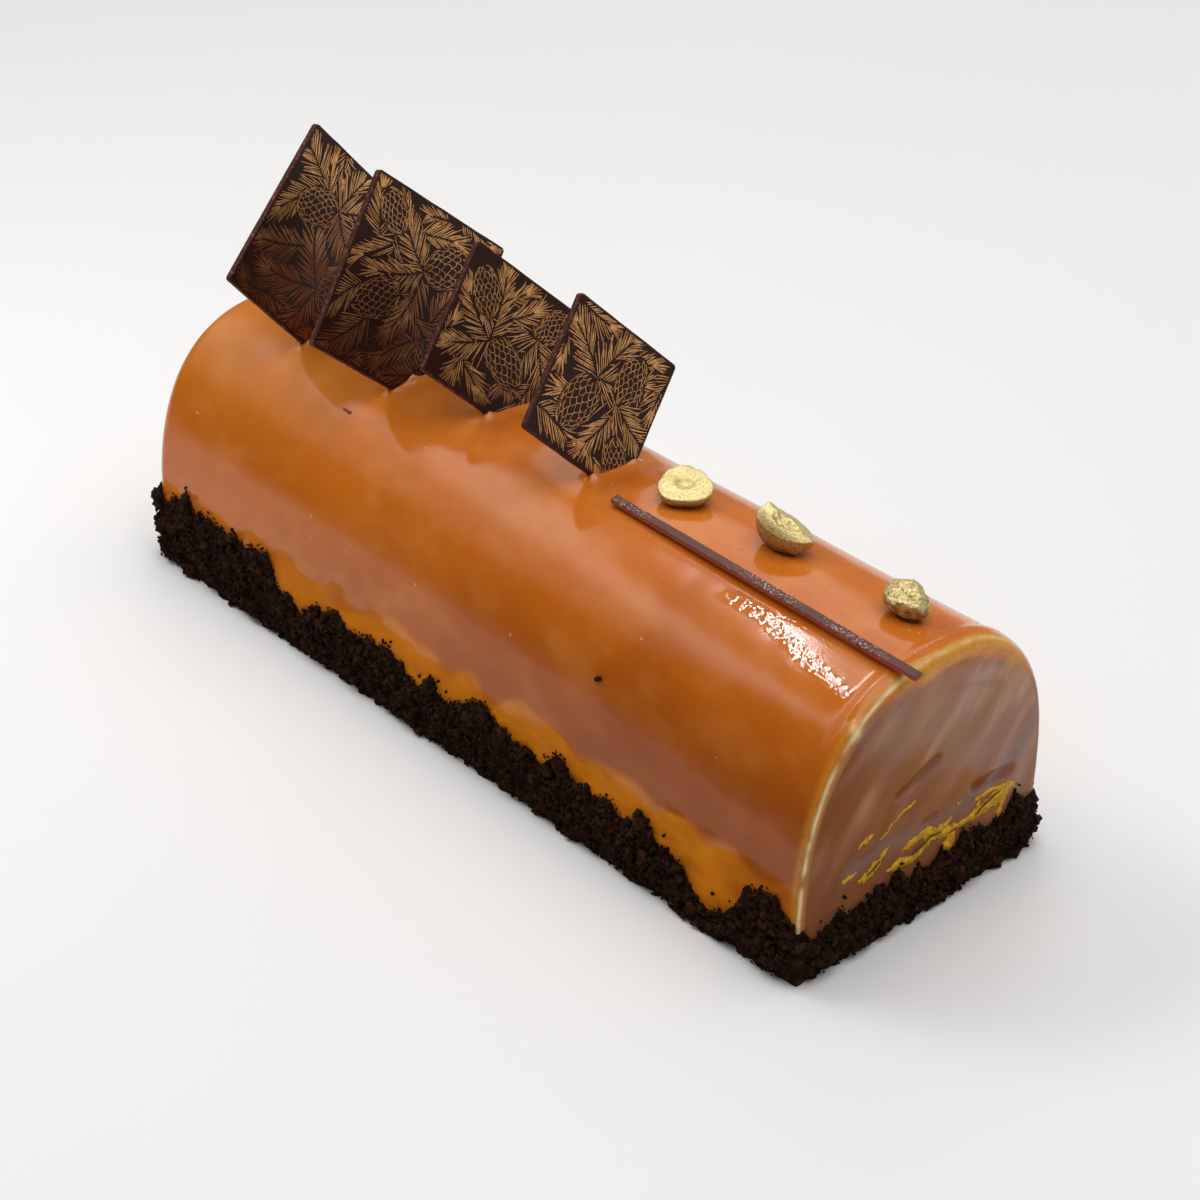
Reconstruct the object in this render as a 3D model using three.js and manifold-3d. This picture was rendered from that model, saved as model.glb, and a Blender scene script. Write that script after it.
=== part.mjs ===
// A yule log cake: a mousse log under caramel mirror glaze, with four printed
// dark chocolate squares standing in its ridge, a chocolate stick and three
// gilded hazelnut halves on top, and a border of cocoa cake crumbs at its foot.
// Millimetres. X runs along the log to the end with the stick, Z is up, and the
// origin is the middle of the flat underside.
import * as THREE from "three";
import { mergeVertices } from "three/addons/utils/BufferGeometryUtils.js";
import Module from "manifold-3d";

const GAP = 0.3; // clearance left between pieces that touch

// The log keeps the form of the half-pipe mould it was set in.
const LOG = {
  length: 244,
  width: 80,
  height: 69,
  wall: 16.5, // height of the straight foot of each side
  fullness: 2.46, // power of the superellipse above the wall: 2 would be round
  nearRound: 3, // edge radius of the cut end, where the glaze ran thin
  farRound: 5, // edge radius of the other end, under a thick coat of glaze
  archSteps: 28,
  lengthSteps: 32,
  roundSteps: 4,
  capRings: 1,
};

// Each square stands on one corner. Its place is the middle of its printed face.
// Lean tips that face up, yaw turns it about the vertical, and spin turns it in
// its own plane.
const SQUARE = { thickness: 1.7, corner: 1.0, bevel: 0.2 };
const SQUARES = [
  { side: 47.5, at: [-91.5, -1.2, 89.6], lean: 7.6, yaw: 6.0, spin: -49.1 },
  { side: 47.5, at: [-56.9, -0.9, 88.9], lean: 13.5, yaw: 3.6, spin: -40.8 },
  { side: 36, at: [-29.5, 5.4, 84.7], lean: 19.5, yaw: 1.1, spin: -45.5 },
  { side: 36, at: [10.2, 3.2, 85.5], lean: 18.7, yaw: 2.5, spin: -46.4 },
];

// The glaze sinks a little round the foot of each square and swells beside it.
const DENT = { depth: 1.3, reach: 9, across: 1.6, swell: 0.7, swellReach: 6 };

// The stick lies beside the ridge and reaches past the near end. It is turned a
// little from the log's own line.
const STICK = { length: 97, middle: [77, -10.6], turn: -1.7, width: 2.7, thickness: 1.1, bevel: 0.25 };

// Hazelnut halves: the cut face looks along the tilted up direction.
// Cavity is the depth of the hollow in the middle of the cut face.
const HAZELNUTS = [
  { at: [38.1, 4.0], size: [13.2, 12.6, 5.0], turn: 20, tilt: [13, 3], corners: 0.07, cavity: 0.9 },
  { at: [68.2, 6.8], size: [15.0, 11.2, 7.0], turn: 4, tilt: [-24, 14], corners: 0.05, cavity: 2.2 },
  { at: [105.4, 5.8], size: [11.6, 8.8, 5.4], turn: -8, tilt: [6, 8], corners: 0.06, cavity: 0.4 },
];
const NUT = {
  segments: 16,
  shellRings: 5,
  faceRings: 4,
  faceReach: 0.93, // the cut face is this share of the shell's width
  lip: 0.4, // from the cut face down to the widest part of the shell
  sunk: 0.7, // how far the shell sinks into the glaze
  cavityReach: 0.42, // share of the half width that the hollow takes
};

// Crumbs pressed on round the foot: [share of the way round, height of the band],
// from the far front corner along the front, across the near end, and back.
const BORDER_HEIGHTS = [
  [0.0, 20.0],
  [0.024, 22.5],
  [0.05, 19.0],
  [0.075, 20.5],
  [0.085, 12.5],
  [0.11, 16.5],
  [0.15, 16.0],
  [0.17, 12.8],
  [0.21, 16.2],
  [0.25, 14.8],
  [0.3, 15.6],
  [0.325, 7.0],
  [0.335, 7.0],
  [0.35, 18.0],
  [0.368, 17.5],
  [0.38, 9.5],
  [0.4, 13.0],
  [0.44, 12.5],
  [0.49, 14.0],
  [0.56, 16.0],
  [0.63, 18.0],
  [0.7, 14.0],
  [0.78, 17.5],
  [0.86, 15.0],
  [0.93, 18.0],
];
const BORDER = {
  clearance: 0.45, // from the glaze to the core of the band
  step: 2.8, // spacing of its sections, about one crumb
  rows: 5, // rows of crumbs up its outer side
  foot: 1.5, // thickness where it stands
  belly: 0.7, // how much thicker it is half way up
  top: 0.9, // thickness at its top edge
  bump: 0.75, // how far a crumb stands out of the core
  ragged: 1.6, // unevenness of its top edge
  stagger: 0.06, // unevenness of its rows, as a share of its height
  innerDrop: 0.6, // how much lower the top edge is against the glaze
};
const CRUMB = {
  count: 100,
  smallest: 0.75, // radius
  largest: 1.75,
  rough: 0.28, // how far its corners stray, as a share of the radius
  onEdge: 0.55, // share of the crumbs that lie along the top edge
  lowest: 0.12, // the others lie between these shares of the band's height
  highest: 0.87,
  proud: 0.25, // how far a crumb may stand off the band, as a share of its radius
};
const SEED = 2412;

const degrees = THREE.MathUtils.degToRad;
const up = new THREE.Vector3(0, 0, 1);

// ---------------------------------------------------------------- solids

const wasm = await Module();
wasm.setup();

/** The body that a closed geometry bounds. */
function solidOf(geometry) {
  const bare = geometry.clone();
  bare.deleteAttribute("normal");
  bare.deleteAttribute("uv");
  const merged = mergeVertices(bare, 1e-4);
  return new wasm.Manifold(
    new wasm.Mesh({
      numProp: 3,
      vertProperties: new Float32Array(merged.attributes.position.array),
      triVerts: new Uint32Array(merged.index.array),
    }),
  );
}

/** The geometry of a body. */
function geometryOf(solid) {
  const mesh = solid.getMesh();
  const geometry = new THREE.BufferGeometry();
  geometry.setAttribute("position", new THREE.BufferAttribute(mesh.vertProperties, 3));
  geometry.setIndex(new THREE.BufferAttribute(mesh.triVerts, 1));
  geometry.computeVertexNormals();
  return geometry;
}

/** The largest separate piece of a body, without the loose scraps. */
function largestPiece(solid) {
  return solid.decompose().reduce((best, piece) => (piece.volume() > best.volume() ? piece : best));
}

/** A geometry from points and triangles given by their indices. */
function geometryFrom(points, faces) {
  const geometry = new THREE.BufferGeometry().setFromPoints(points);
  geometry.setIndex(faces);
  geometry.computeVertexNormals();
  return geometry;
}

/** Quads between neighbouring rings of equal length, each split in two. */
function quadsBetween(rings, around, wrap) {
  const faces = [];
  const last = wrap ? rings : rings - 1;
  for (let i = 0; i < last; i++) {
    const next = (i + 1) % rings;
    for (let j = 0; j < around; j++) {
      const k = (j + 1) % around;
      const [a, b, c, d] = [i * around + j, i * around + k, next * around + k, next * around + j];
      faces.push(a, b, c, a, c, d);
    }
  }
  return faces;
}

/** A closed skin over rings of points, with a fan about its middle at each end. */
function loft(rings) {
  const around = rings[0].length;
  const points = rings.flat();
  const faces = quadsBetween(rings.length, around, false);
  const middleOf = (ring) => ring.reduce((sum, p) => sum.add(p), new THREE.Vector3()).divideScalar(around);
  const first = points.push(middleOf(rings[0])) - 1;
  const last = points.push(middleOf(rings.at(-1))) - 1;
  const base = (rings.length - 1) * around;
  for (let j = 0; j < around; j++) {
    const k = (j + 1) % around;
    faces.push(first, k, j, last, base + j, base + k);
  }
  return geometryFrom(points, faces);
}

/** A closed band: sections carried round a path that meets its own start. */
function band(sections) {
  return geometryFrom(sections.flat(), quadsBetween(sections.length, sections[0].length, true));
}

/** A repeatable stream of numbers from 0 to 1 (mulberry32). */
function seededRandom(seed) {
  let state = seed;
  return () => {
    state = (state + 0x6d2b79f5) | 0;
    let t = Math.imul(state ^ (state >>> 15), 1 | state);
    t = (t + Math.imul(t ^ (t >>> 7), 61 | t)) ^ t;
    return ((t ^ (t >>> 14)) >>> 0) / 4294967296;
  };
}

// ------------------------------------------------------------------- log

const halfWidth = LOG.width / 2;
const halfLength = LOG.length / 2;
const archHeight = LOG.height - LOG.wall;

/** Height of the glaze at a distance across from the ridge. */
function glazeHeight(y) {
  const across = Math.min(Math.abs(y) / halfWidth, 1);
  return LOG.wall + archHeight * (1 - across ** LOG.fullness) ** (1 / LOG.fullness);
}

/** Outward normal of the arch at a point of it, in the plane of the section. */
function archNormal(y, z) {
  const power = LOG.fullness - 1;
  const across = (Math.sign(y) * (Math.abs(y) / halfWidth) ** power) / halfWidth;
  const above = (Math.max(z - LOG.wall, 0) / archHeight) ** power / archHeight;
  return new THREE.Vector2(across, above).normalize();
}

/** Where a square goes into the glaze: the way along at which its face crosses it. */
function entryOf({ at, lean }) {
  return at[0] + (at[2] - LOG.height) * Math.tan(degrees(lean));
}

/** How far the glaze stands out of the mould's form at a point of the ridge. */
function glazeRelief(x, y) {
  let relief = 0;
  for (const square of SQUARES) {
    const along = x - entryOf(square);
    const across = (y - square.at[1]) / DENT.across;
    const dent = Math.hypot(along, across) / DENT.reach;
    const swell = Math.hypot(along - DENT.reach, across) / DENT.swellReach;
    relief += DENT.swell * Math.exp(-swell * swell) - DENT.depth * Math.exp(-dent * dent);
  }
  return relief;
}

/** One section of the log, drawn in by the inset and closed under the foot. */
function logSection(x, inset) {
  const ring = [];
  for (const z of [0, LOG.wall / 2]) ring.push(new THREE.Vector3(x, -halfWidth + inset, z));
  for (let i = 0; i <= LOG.archSteps; i++) {
    const angle = (Math.PI * i) / LOG.archSteps;
    const power = 2 / LOG.fullness;
    const y = -halfWidth * Math.sign(Math.cos(angle)) * Math.abs(Math.cos(angle)) ** power;
    const z = LOG.wall + archHeight * Math.abs(Math.sin(angle)) ** power;
    const normal = archNormal(y, z);
    const out = normal.y ** 2 * glazeRelief(x, y) - inset;
    ring.push(new THREE.Vector3(x, y + normal.x * out, z + normal.y * out));
  }
  for (const z of [LOG.wall / 2, 0]) ring.push(new THREE.Vector3(x, halfWidth - inset, z));
  for (const share of [0.5, 0, -0.5]) ring.push(new THREE.Vector3(x, share * (halfWidth - inset), 0));
  return ring;
}

/** The rounded edge at one end: sections from the flat face out to full size. */
function roundedEnd(radius, side, grown) {
  const rings = [];
  const face = halfLength + grown;
  for (let i = 0; i < LOG.roundSteps; i++) {
    const angle = (Math.PI / 2) * (i / LOG.roundSteps);
    const x = side * (face - radius * (1 - Math.cos(angle)));
    rings.push(logSection(x, radius * (1 - Math.sin(angle)) - grown));
  }
  return rings;
}

/** The flat face of one end, as smaller copies of its outline. */
function endFace(outline) {
  const middle = new THREE.Vector3(outline[0].x, 0, LOG.height / 2);
  const rings = [];
  for (let i = 1; i <= LOG.capRings; i++) {
    const share = i / (LOG.capRings + 1);
    rings.push(outline.map((p) => middle.clone().lerp(p, share)));
  }
  return rings;
}

/** The log, grown on every side but the underside. */
function logGeometry(grown) {
  const near = roundedEnd(LOG.nearRound, 1, grown);
  const far = roundedEnd(LOG.farRound, -1, grown);
  const from = -halfLength + LOG.farRound;
  const to = halfLength - LOG.nearRound;
  const middle = [];
  for (let i = 0; i <= LOG.lengthSteps; i++) {
    middle.push(logSection(to - ((to - from) * i) / LOG.lengthSteps, -grown));
  }
  return loft([...endFace(near[0]), ...near, ...middle, ...far.reverse(), ...endFace(far.at(-1)).reverse()]);
}

// --------------------------------------------------------------- squares

/** A thin square with rounded corners, its printed face at z = 0. */
function squareGeometry(side, grown) {
  const { thickness, corner, bevel } = SQUARE;
  const half = side / 2 + grown;
  const r = corner + grown;
  const shape = new THREE.Shape();
  shape.moveTo(-half + r, -half);
  shape.lineTo(half - r, -half);
  shape.absarc(half - r, -half + r, r, -Math.PI / 2, 0);
  shape.lineTo(half, half - r);
  shape.absarc(half - r, half - r, r, 0, Math.PI / 2);
  shape.lineTo(-half + r, half);
  shape.absarc(-half + r, half - r, r, Math.PI / 2, Math.PI);
  shape.lineTo(-half, -half + r);
  shape.absarc(-half + r, -half + r, r, Math.PI, 1.5 * Math.PI);
  const depth = thickness + 2 * grown;
  const geometry = new THREE.ExtrudeGeometry(shape, {
    depth: depth - 2 * bevel,
    bevelThickness: bevel,
    bevelSize: bevel,
    bevelOffset: -bevel,
    bevelSegments: 1,
    curveSegments: 2,
  });
  return geometry.translate(0, 0, bevel + grown - depth);
}

/** The turn that stands a square on its corner, facing along the log. */
function squareTurn({ lean, yaw, spin }) {
  const facing = new THREE.Vector3(Math.cos(degrees(lean)), 0, Math.sin(degrees(lean)));
  facing.applyAxisAngle(up, degrees(yaw));
  const across = up.clone().cross(facing).normalize();
  const rising = facing.clone().cross(across);
  const basis = new THREE.Matrix4().makeBasis(across, rising, facing);
  const turned = new THREE.Matrix4().makeRotationZ(degrees(spin));
  return new THREE.Quaternion().setFromRotationMatrix(basis.multiply(turned));
}

// ------------------------------------------------------ stick and hazelnuts

/** The stick, a bar along X with the middle of its underside at the origin. */
function stickGeometry() {
  const { length, width, thickness, bevel } = STICK;
  const section = new THREE.Shape();
  section.moveTo(-width / 2, 0);
  section.lineTo(width / 2, 0);
  section.lineTo(width / 2 - bevel, thickness);
  section.lineTo(-width / 2 + bevel, thickness);
  section.closePath();
  const geometry = new THREE.ExtrudeGeometry(section, { depth: length, steps: 8, bevelEnabled: false });
  geometry.rotateX(Math.PI / 2).rotateZ(Math.PI / 2);
  return geometry.translate(-length / 2, 0, 0);
}

/** Lays the stick along the side of the ridge, clear of the glaze under it. */
function placeStick(mesh) {
  const [x, y] = STICK.middle;
  const reach = (STICK.length / 2) * Math.sin(degrees(Math.abs(STICK.turn)));
  const normal = archNormal(y, glazeHeight(y));
  const highest = glazeHeight(Math.abs(y) - reach - STICK.width / 2);
  mesh.rotation.set(-Math.atan2(normal.x, normal.y), 0, degrees(STICK.turn), "ZYX");
  mesh.position.set(x, y, highest + GAP - (reach + STICK.width / 2) * (normal.x / normal.y));
}

/** Half a hazelnut, cut face up at z = 0, with a hollow in its middle. */
function hazelnutGeometry({ size, corners, cavity }) {
  const [long, wide, deep] = size;
  const rings = [];
  const ringAt = (reach, z) => {
    const ring = [];
    for (let j = 0; j < NUT.segments; j++) {
      const angle = (2 * Math.PI * j) / NUT.segments;
      const lobe = 1 + corners * Math.cos(3 * angle) * reach;
      const x = (long / 2) * reach * lobe * Math.cos(angle);
      ring.push(new THREE.Vector3(x, (wide / 2) * reach * lobe * Math.sin(angle), z));
    }
    return ring;
  };
  for (let i = 1; i <= NUT.shellRings; i++) {
    const angle = (Math.PI / 2) * (i / NUT.shellRings);
    rings.push(ringAt(Math.sin(angle), -deep * Math.cos(angle) - NUT.lip));
  }
  for (let i = 0; i < NUT.faceRings; i++) {
    const reach = NUT.faceReach * (1 - i / NUT.faceRings);
    rings.push(ringAt(reach, -cavity * Math.exp(-((reach / NUT.cavityReach) ** 2))));
  }
  return loft(rings);
}

/** Sets a hazelnut half down on the glaze, tilted and turned. */
function placeHazelnut(mesh, { at, size, turn, tilt }) {
  const [x, y] = at;
  const normal = archNormal(y, glazeHeight(y));
  mesh.rotation.set(degrees(tilt[0]), degrees(tilt[1]), degrees(turn), "ZYX");
  const lift = size[2] - NUT.sunk;
  mesh.position.set(x, y + normal.x * lift, glazeHeight(y) + normal.y * lift);
}

// ---------------------------------------------------------- crumb border

/** The outline of the log's foot, moved out by a clearance. */
function footPath(clearance) {
  const a = halfLength + clearance;
  const b = halfWidth + clearance;
  const near = LOG.nearRound + clearance;
  const far = LOG.farRound + clearance;
  const path = new THREE.Path();
  path.moveTo(-a + far, -b);
  path.lineTo(a - near, -b);
  path.absarc(a - near, -b + near, near, -Math.PI / 2, 0);
  path.lineTo(a, b - near);
  path.absarc(a - near, b - near, near, 0, Math.PI / 2);
  path.lineTo(-a + far, b);
  path.absarc(-a + far, b - far, far, Math.PI / 2, Math.PI);
  path.lineTo(-a, -b + far);
  path.absarc(-a + far, -b + far, far, Math.PI, 1.5 * Math.PI);
  return path;
}

/** Height of the border at a share of the way round, between its stations. */
function borderHeight(share) {
  const next = BORDER_HEIGHTS.findIndex(([station]) => station > share);
  const [a, from] = BORDER_HEIGHTS.at(next - 1);
  const [b, to] = next < 0 ? [1, BORDER_HEIGHTS[0][1]] : BORDER_HEIGHTS[next];
  return THREE.MathUtils.lerp(from, to, (share - a) / (b - a));
}

/** Thickness of the border at a share of its height. */
function borderThickness(rise) {
  return THREE.MathUtils.lerp(BORDER.foot, BORDER.top, rise) + BORDER.belly * Math.sin(Math.PI * rise);
}

/** The core of the border: its inner side upright, its outer side as rough as crumbs. */
function borderCore(path, random) {
  const count = Math.round(path.getLength() / BORDER.step);
  const sections = [];
  for (let i = 0; i < count; i++) {
    const share = i / count;
    const foot = path.getPointAt(share);
    const tangent = path.getTangentAt(share);
    const outward = new THREE.Vector2(tangent.y, -tangent.x);
    const height = borderHeight(share) + BORDER.ragged * (random() - 0.5);
    const at = (out, z) => new THREE.Vector3(foot.x + outward.x * out, foot.y + outward.y * out, z);
    const section = [at(0, 0), at(BORDER.foot, 0)];
    for (let row = 1; row <= BORDER.rows; row++) {
      const rise = (row - 0.5) / BORDER.rows;
      const out = borderThickness(rise) + BORDER.bump * random();
      section.push(at(out, height * (rise + BORDER.stagger * (random() - 0.5))));
    }
    section.push(at(BORDER.top / 2, height), at(0, height - BORDER.innerDrop));
    sections.push(section.reverse());
  }
  return band(sections);
}

/** One crumb: a small uneven lump. */
function crumbGeometry(radius, random) {
  const ball = new THREE.IcosahedronGeometry(radius, 0);
  const lump = mergeVertices(ball.deleteAttribute("normal").deleteAttribute("uv"));
  const place = lump.attributes.position;
  for (let i = 0; i < place.count; i++) {
    const stretch = 1 + CRUMB.rough * (2 * random() - 1);
    place.setXYZ(i, place.getX(i) * stretch, place.getY(i) * stretch, place.getZ(i) * stretch);
  }
  return lump.rotateX(Math.PI * random()).rotateY(Math.PI * random()).rotateZ(Math.PI * random());
}

/** The crumbs that stand out of the core, most of them along its top edge. */
function looseCrumbs(path, random) {
  const crumbs = [];
  for (let i = 0; i < CRUMB.count; i++) {
    const share = (i + random()) / CRUMB.count;
    const radius = THREE.MathUtils.lerp(CRUMB.smallest, CRUMB.largest, random() ** 1.5);
    const foot = path.getPointAt(share % 1);
    const tangent = path.getTangentAt(share % 1);
    const height = borderHeight(share % 1);
    const rise = random() < CRUMB.onEdge ? 1 : THREE.MathUtils.lerp(CRUMB.lowest, CRUMB.highest, random());
    const out = borderThickness(rise) + CRUMB.proud * radius * random();
    const z = Math.max(height * rise, radius * (1 + CRUMB.rough));
    const crumb = crumbGeometry(radius, random);
    crumbs.push(crumb.translate(foot.x + tangent.y * out, foot.y - tangent.x * out, z));
  }
  return crumbs;
}

// ------------------------------------------------------------------ cake

const glaze = new THREE.MeshStandardMaterial({ color: 0xb9682c, roughness: 0.12, metalness: 0 });
const printedChocolate = new THREE.MeshStandardMaterial({ color: 0x3a2018, roughness: 0.4, metalness: 0 });
const stickChocolate = new THREE.MeshStandardMaterial({ color: 0x5c3229, roughness: 0.45, metalness: 0 });
const gildedNut = new THREE.MeshStandardMaterial({ color: 0xc9a452, roughness: 0.45, metalness: 0.7 });
const cocoaCrumb = new THREE.MeshStandardMaterial({ color: 0x22140d, roughness: 0.9, metalness: 0 });

const cake = new THREE.Group();
const grownLog = solidOf(logGeometry(GAP));
let log = solidOf(logGeometry(0));

SQUARES.forEach((square, i) => {
  const mesh = new THREE.Mesh(squareGeometry(square.side, 0), printedChocolate);
  mesh.name = `chocolate_square_${i + 1}`;
  mesh.position.set(...square.at);
  mesh.quaternion.copy(squareTurn(square));
  mesh.updateMatrixWorld();
  const slot = squareGeometry(square.side, GAP).applyMatrix4(mesh.matrixWorld);
  log = log.subtract(solidOf(slot));
  cake.add(mesh);
});

const logMesh = new THREE.Mesh(geometryOf(largestPiece(log)), glaze);
logMesh.name = "glazed_log";
cake.add(logMesh);

const stick = new THREE.Mesh(stickGeometry(), stickChocolate);
stick.name = "chocolate_stick";
placeStick(stick);
cake.add(stick);

HAZELNUTS.forEach((nut, i) => {
  const mesh = new THREE.Mesh(hazelnutGeometry(nut), gildedNut);
  mesh.name = `hazelnut_half_${i + 1}`;
  placeHazelnut(mesh, nut);
  mesh.updateMatrixWorld();
  const resting = solidOf(mesh.geometry.clone().applyMatrix4(mesh.matrixWorld)).subtract(grownLog);
  mesh.geometry = geometryOf(largestPiece(resting)).applyMatrix4(mesh.matrixWorld.clone().invert());
  cake.add(mesh);
});

const random = seededRandom(SEED);
const borderPath = footPath(BORDER.clearance);
let border = solidOf(borderCore(borderPath, random));
for (const crumb of looseCrumbs(borderPath, random)) border = border.add(solidOf(crumb));
const borderMesh = new THREE.Mesh(geometryOf(largestPiece(border.subtract(grownLog))), cocoaCrumb);
borderMesh.name = "crumb_border";
cake.add(borderMesh);

export default cake;
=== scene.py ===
"""Finished surfaces for a yule log cake: a half-round mousse log under caramel mirror glaze, four printed
dark chocolate squares standing in its ridge, a chocolate stick, gilded hazelnut halves and a border of
cocoa cake crumbs. Shapes are worked out in millimetres and stored in metres."""

import math

import bpy
import numpy as np
from mathutils import Matrix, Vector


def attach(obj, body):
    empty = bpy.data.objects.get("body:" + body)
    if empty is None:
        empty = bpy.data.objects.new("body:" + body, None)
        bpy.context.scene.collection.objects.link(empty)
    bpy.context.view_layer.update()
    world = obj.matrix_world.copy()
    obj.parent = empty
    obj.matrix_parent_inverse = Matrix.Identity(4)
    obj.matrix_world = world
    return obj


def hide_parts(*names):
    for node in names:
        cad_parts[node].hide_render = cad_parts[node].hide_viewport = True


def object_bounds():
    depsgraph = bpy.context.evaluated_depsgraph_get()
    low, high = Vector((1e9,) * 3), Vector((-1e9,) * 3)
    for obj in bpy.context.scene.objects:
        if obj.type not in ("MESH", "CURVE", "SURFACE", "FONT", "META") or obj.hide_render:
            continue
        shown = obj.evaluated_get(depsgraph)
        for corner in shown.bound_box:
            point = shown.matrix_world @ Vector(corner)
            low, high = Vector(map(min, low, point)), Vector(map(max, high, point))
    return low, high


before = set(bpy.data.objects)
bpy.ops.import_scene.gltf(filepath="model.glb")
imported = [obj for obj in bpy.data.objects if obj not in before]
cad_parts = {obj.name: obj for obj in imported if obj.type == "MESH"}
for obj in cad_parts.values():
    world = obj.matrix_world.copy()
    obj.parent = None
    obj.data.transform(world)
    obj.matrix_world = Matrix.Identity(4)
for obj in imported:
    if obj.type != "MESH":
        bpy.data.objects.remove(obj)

bl_info = {
    "name": "Caramel yule log cake",
    "version": (1, 0, 0),
    "blender": (4, 5, 0),
    "location": "View3D > Sidebar > Yule log",
    "description": "Builds the finished surfaces of a glazed yule log cake over its packed solids",
    "category": "Object",
}

MM = 0.001
CAD_BOX = [list(corner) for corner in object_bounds()]

# ---------------------------------------------------------------- sizes, in millimetres

# The log, and the section of its mould: straight walls under a superellipse. Its end edges are rounded.
LENGTH = 244.0
WIDTH = 80.0
HEIGHT = 69.0
WALL = 16.5
FULLNESS = 2.46
NEAR_ROUND = 3.0
FAR_ROUND = 5.0

# The printed squares: side, middle of the printed face, and turns in degrees. Lean tips the face up, yaw
# turns it about the vertical, and spin turns it in its own plane.
SQUARES = (
    {"side": 47.5, "at": (-91.5, -1.2, 89.6), "lean": 7.6, "yaw": 6.0, "spin": -49.1},
    {"side": 47.5, "at": (-56.9, -0.9, 88.9), "lean": 13.5, "yaw": 3.6, "spin": -40.8},
    {"side": 36.0, "at": (-29.5, 5.4, 84.7), "lean": 19.5, "yaw": 1.1, "spin": -45.5},
    {"side": 36.0, "at": (10.2, 3.2, 85.5), "lean": 18.7, "yaw": 2.5, "spin": -46.4},
)
SQUARE_THICKNESS = 1.7
SQUARE_CORNER = 1.0
SQUARE_BEVEL = 0.22

# The print: its bare margin, the grain of the raster that keeps needles apart, the points of a needle's
# path, the fewest of them that are printed, and how many fill-in sprigs are tried.
PRINT_MARGIN = 0.7
PRINT_CELL = 0.34
NEEDLE_POINTS = 25
SHORTEST_NEEDLE = 6
FILL_SPRIGS = 900

# Below what height each square's print is painted darker, as shade and a reflection of the darker glaze
# below it, and how far it is darkened 12 mm lower.
PRINT_SHADE = ((101.0, 0.9), (90.0, 0.85), (78.0, 0.7), (70.0, 0.2))

# The point layers that the glaze's material reads. glaze_layers says what each is for.
GLAZE_LAYERS = (
    "face", "ochre", "cream", "brown", "near_end_shade", "thin", "wrinkle", "deep", "grey_reflection_and_shade", "swirl", "foot",
)

# Noise in the glaze: its grain in millimetres, its detail, how it is drawn out along each axis, the range of
# it that counts, and what that range becomes.
GLAZE_PATTERNS = {
    "cloud": (38.0, 2.0, (1.0, 1.0, 1.0), (0.35, 0.65, 0.0, 0.3)),
    "veil": (11.0, 3.0, (0.8, 1.1, 1.1), (0.46, 0.68, 0.0, 0.36)),
    # foot: breaks up the painted reflection of a gold board above the foot.
    "foot": (5.0, 3.0, (0.5, 1.0, 1.0), (0.35, 0.62, 0.55, 1.0)),
    "rim": (1.4, 3.0, (1.0, 1.0, 1.0), (0.3, 0.6, 0.55, 1.0)),
    "ripple": (4.0, 1.0, (1.0, 1.0, 1.0), (0.0, 1.0, 0.0, 1.0)),
    "wrinkle": (0.9, 1.2, (0.45, 1.0, 1.0), (0.0, 1.0, 0.0, 1.0)),
}

# The pale runs on the near face spread like a fan from a point above its right shoulder. Their grain is true
# at the fan's radius, and a share below 1 draws them out along the run.
FAN_START = (0.0, 40.0, 85.0)
FAN_RADIUS = 45.0
FAN_GRAIN = 3.6
FAN_DRAWN_OUT = 0.22

# Where the cones of the print lie on each square, as shares of half its side, with the heading of each
# cone's tip in degrees and its length in millimetres.
CONES = (
    ((-0.42, 0.30, 200, 15.0), (0.44, -0.30, 20, 16.0), (0.62, 0.66, 70, 12.5)),
    ((0.34, 0.46, 30, 16.5), (-0.44, -0.22, 215, 15.5), (0.56, -0.56, 320, 14.0), (-0.62, 0.70, 140, 12.5)),
    ((0.20, -0.26, 335, 15.0), (-0.54, 0.46, 130, 13.0), (0.74, 0.60, 60, 12.0)),
    ((-0.34, -0.26, 250, 16.0), (0.36, 0.40, 80, 13.5), (0.62, -0.66, 300, 12.0)),
)

# Marks on the near face, as lines of (y, z): soft arcs where the glaze wrinkled under the ridge, dents where
# it pooled, with their half widths and depths, and runs of painted grey reflection and shade.
FACE_ARCS = (
    ((-10.8, 62.9), (-2.1, 65.2), (7.3, 64.0), (19.0, 58.5), (25.5, 54.6)),
    ((4.5, 58.5), (13.6, 55.7), (21.4, 52.3)),
)
FACE_DENTS = (
    (((1.8, 40.6), (-3.0, 39.1), (-6.8, 37.4), (-10.0, 36.6)), 1.5, 0.30),
    (((28.7, 25.4), (24.0, 25.9), (19.5, 26.2), (16.7, 26.2)), 1.9, 0.36),
    (((-0.3, 24.9), (3.3, 24.9)), 1.0, 0.22),
    (((-21.4, 25.6), (-17.1, 25.3)), 0.8, 0.16),
)
GREY_REFLECTION_RUNS = (
    ((13.0, 21.5), (22.0, 25.5), (29.0, 29.2), (37.0, 36.0)),
    ((-25.0, 22.8), (-15.0, 24.8), (-5.0, 23.2), (8.0, 22.6), (18.0, 24.2)),
)
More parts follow.
